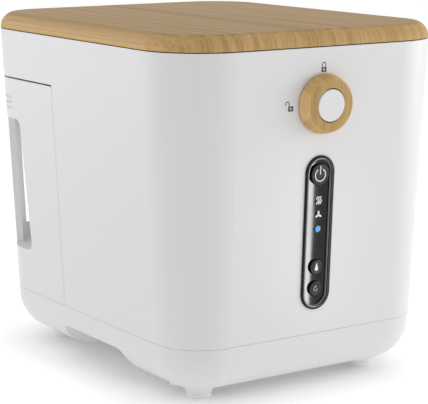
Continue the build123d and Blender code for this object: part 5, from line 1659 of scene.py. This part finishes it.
@dataclass(frozen=True)
class EdgeLamp:
    """A slim lamp, seen in reflections alone, hung where the panel's glass mirrors it to the camera as a
    bright band.

    Attributes:
        panel: The panel that mirrors it.
        left: Left edge of the band across the panel, in millimetres.
        right: Right edge of the band.
        distance: Its distance in front of the glass, in metres.
        brightness: Its radiance.
    """

    panel: ControlPanel
    left: float = -11.4
    right: float = -5.6
    distance: float = 0.2
    brightness: float = 31.0

    def build(self, eye: Vector) -> None:
        """Hang the lamp where the glass mirrors it to an eye point.

        Args:
            eye: The eye point, in metres.
        """
        glass = Matrix.Scale(MM, 4) @ front_matrix(self.panel.middle, (self.left + self.right) / 2,
                                                   -self.panel.recess)
        middle = glass.translation
        up, normal = (glass.to_3x3().normalized().col[index] for index in (1, 2))
        sight = middle - eye
        mirrored = (sight - normal * (2.0 * sight.dot(normal))).normalized()
        away = (mirrored - up * mirrored.dot(up)).normalized()
        growth = 1.0 + self.distance / sight.length
        size = ((self.right - self.left) * MM * growth, self.panel.length * MM * growth)
        turned = Matrix((up.cross(away), up, away)).transposed().to_4x4()
        place = Matrix.Translation(middle + mirrored * self.distance) @ turned
        hang("edge_lamp", size, self.brightness * math.pi * size[0] * size[1], place, shine_only=True)


@dataclass
class Studio:
    """Floor, world, lamps and camera.

    Attributes:
        eye: Camera's place in metres.
        tilt: Camera's tilt in degrees.
        turn: Camera's turn in degrees.
        lens: Camera's focal length in millimetres.
        film: Width of its film in millimetres.
        sky: Strength of the world's light.
        floor_size: Width of the floor, in millimetres.
        floor_tone: Share of its light that the floor scatters.
        floor_grain: Cells per metre of the floor's change of tone.
        floor_mottle: Size of that change.
        floor_glow: Light that the floor sends up to the object.
        floor_gain: How much paler the floor is where it is seen or mirrored.
        floor_lift: Light that it adds there.
        shadow_reach: How far the object's contact shadow spreads, in metres.
        shadow_depth: Share of the light that the contact shadow takes at its deepest.
        shadow_samples: Rays that look for what stands near.
        lamps: The softboxes.
    """

    eye: Xyz = (-0.7966, -1.2069, 0.4082)
    tilt: float = 79.22
    turn: float = -33.65
    lens: float = 141.14
    film: float = 36.0
    sky: float = 0.59
    floor_size: float = 24000.0
    floor_tone: float = 0.885
    floor_grain: float = 3.0
    floor_mottle: float = 0.01
    floor_glow: float = 0.24
    floor_gain: float = 1.78
    floor_lift: float = 0.08
    shadow_reach: float = 0.06
    shadow_depth: float = 0.55
    shadow_samples: int = 16
    lamps: tuple[Softbox, ...] = (
        Softbox("left_softbox", (-1.1, 1.15, 0.35), (0.0, 0.1, 0.15), (1.2, 0.7), 3.2),
        Softbox("right_softbox", (1.5, -0.7, 0.35), (0.0, 0.0, 0.15), (1.2, 0.7), 7.8),
        Softbox("lid_shine", (-0.78, 1.2, 0.87), (-0.12, 0.0, 0.29), (0.5, 0.5), 10.0, shine_only=True),
    )

    def camera(self) -> None:
        """Set the camera."""
        data = bpy.data.cameras.new("camera")
        data.lens = self.lens
        data.sensor_width = self.film
        camera = shown("camera", data)
        camera.location = self.eye
        camera.rotation_euler = (math.radians(self.tilt), 0.0, math.radians(self.turn))
        bpy.context.scene.camera = camera

    def world(self) -> None:
        """White behind the object, plain soft light on it."""
        world = bpy.data.worlds.new("studio")
        bpy.context.scene.world = world
        painter = Painter(world)
        light, back = (
            painter.node("ShaderNodeBackground", inputs={"Color": (*WHITE, 1.0), "Strength": strength})
            for strength in (self.sky, 1.0))
        choice = painter.node("ShaderNodeMixShader", inputs={0: painter.seen(), 1: light, 2: back})
        painter.finish(choice, "ShaderNodeOutputWorld")

    def floor(self) -> None:
        """Pale floor that keeps the object's shadow."""
        blank = Blank()
        blank.outline(self.floor_size, self.floor_size, 0.0)
        data = bpy.data.meshes.new("floor")
        bmesh.ops.transform(blank.mesh, matrix=Matrix.Scale(MM, 4), verts=blank.mesh.verts[:])
        blank.mesh.to_mesh(data)
        blank.mesh.free()
        floor = shown("floor", data)
        painter = Painter.start("floor")
        tone = painter.noise(painter.place(), self.floor_grain) * self.floor_mottle + self.floor_tone
        clear = painter.node("ShaderNodeAmbientOcclusion", {"samples": self.shadow_samples},
                             {"Distance": self.shadow_reach}, output="AO")
        contact = 1.0 - (1.0 - clear) * self.shadow_depth
        giving = self._floor_shader(painter, tone, self.floor_glow)
        looked_at = self._floor_shader(painter, tone * contact * self.floor_gain, self.floor_lift)
        choice = painter.node("ShaderNodeMixShader", inputs={0: painter.seen(), 1: giving, 2: looked_at})
        data.materials.append(painter.finish(choice))

    @staticmethod
    def _floor_shader(painter: Painter, tone: Signal, glow: float) -> Signal:
        """Mix the floor's matt white with a little light of its own.

        Args:
            painter: Painter of the floor's material.
            tone: Share of its light that it scatters.
            glow: Strength of its own light.

        Returns:
            The shader.
        """
        matt = painter.node("ShaderNodeBsdfDiffuse", inputs={"Color": painter.shade(WHITE, tone)})
        light = painter.node("ShaderNodeEmission", inputs={"Color": (*WHITE, 1.0), "Strength": glow})
        return painter.node("ShaderNodeAddShader", inputs={0: matt, 1: light})

    def build(self) -> None:
        """Set the whole studio."""
        self.camera()
        self.world()
        self.floor()
        for lamp in self.lamps:
            lamp.build()
        EdgeLamp(ControlPanel()).build(Vector(self.eye))
        bpy.context.scene.view_settings.view_transform = "Standard"


def main() -> None:
    """Build the studio, dress the frame and add every new piece."""
    logging.basicConfig(level=logging.INFO, format="%(name)s: %(message)s")
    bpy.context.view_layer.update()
    Studio().build()
    BOOK.dress_nodes()
    assemblies = (Lid(), SeamLip("base_lip", BASE_SEAM), SeamLip("drawer_lip", DRAWER_SEAM, DRAWER_FRONT),
                  VentScreen(), ControlPanel(), KnobMarks(), PanelMarks())
    for assembly in assemblies:
        assembly.build()
        LOG.info("%s done", type(assembly).__name__)


if __name__ == "__main__":
    main()
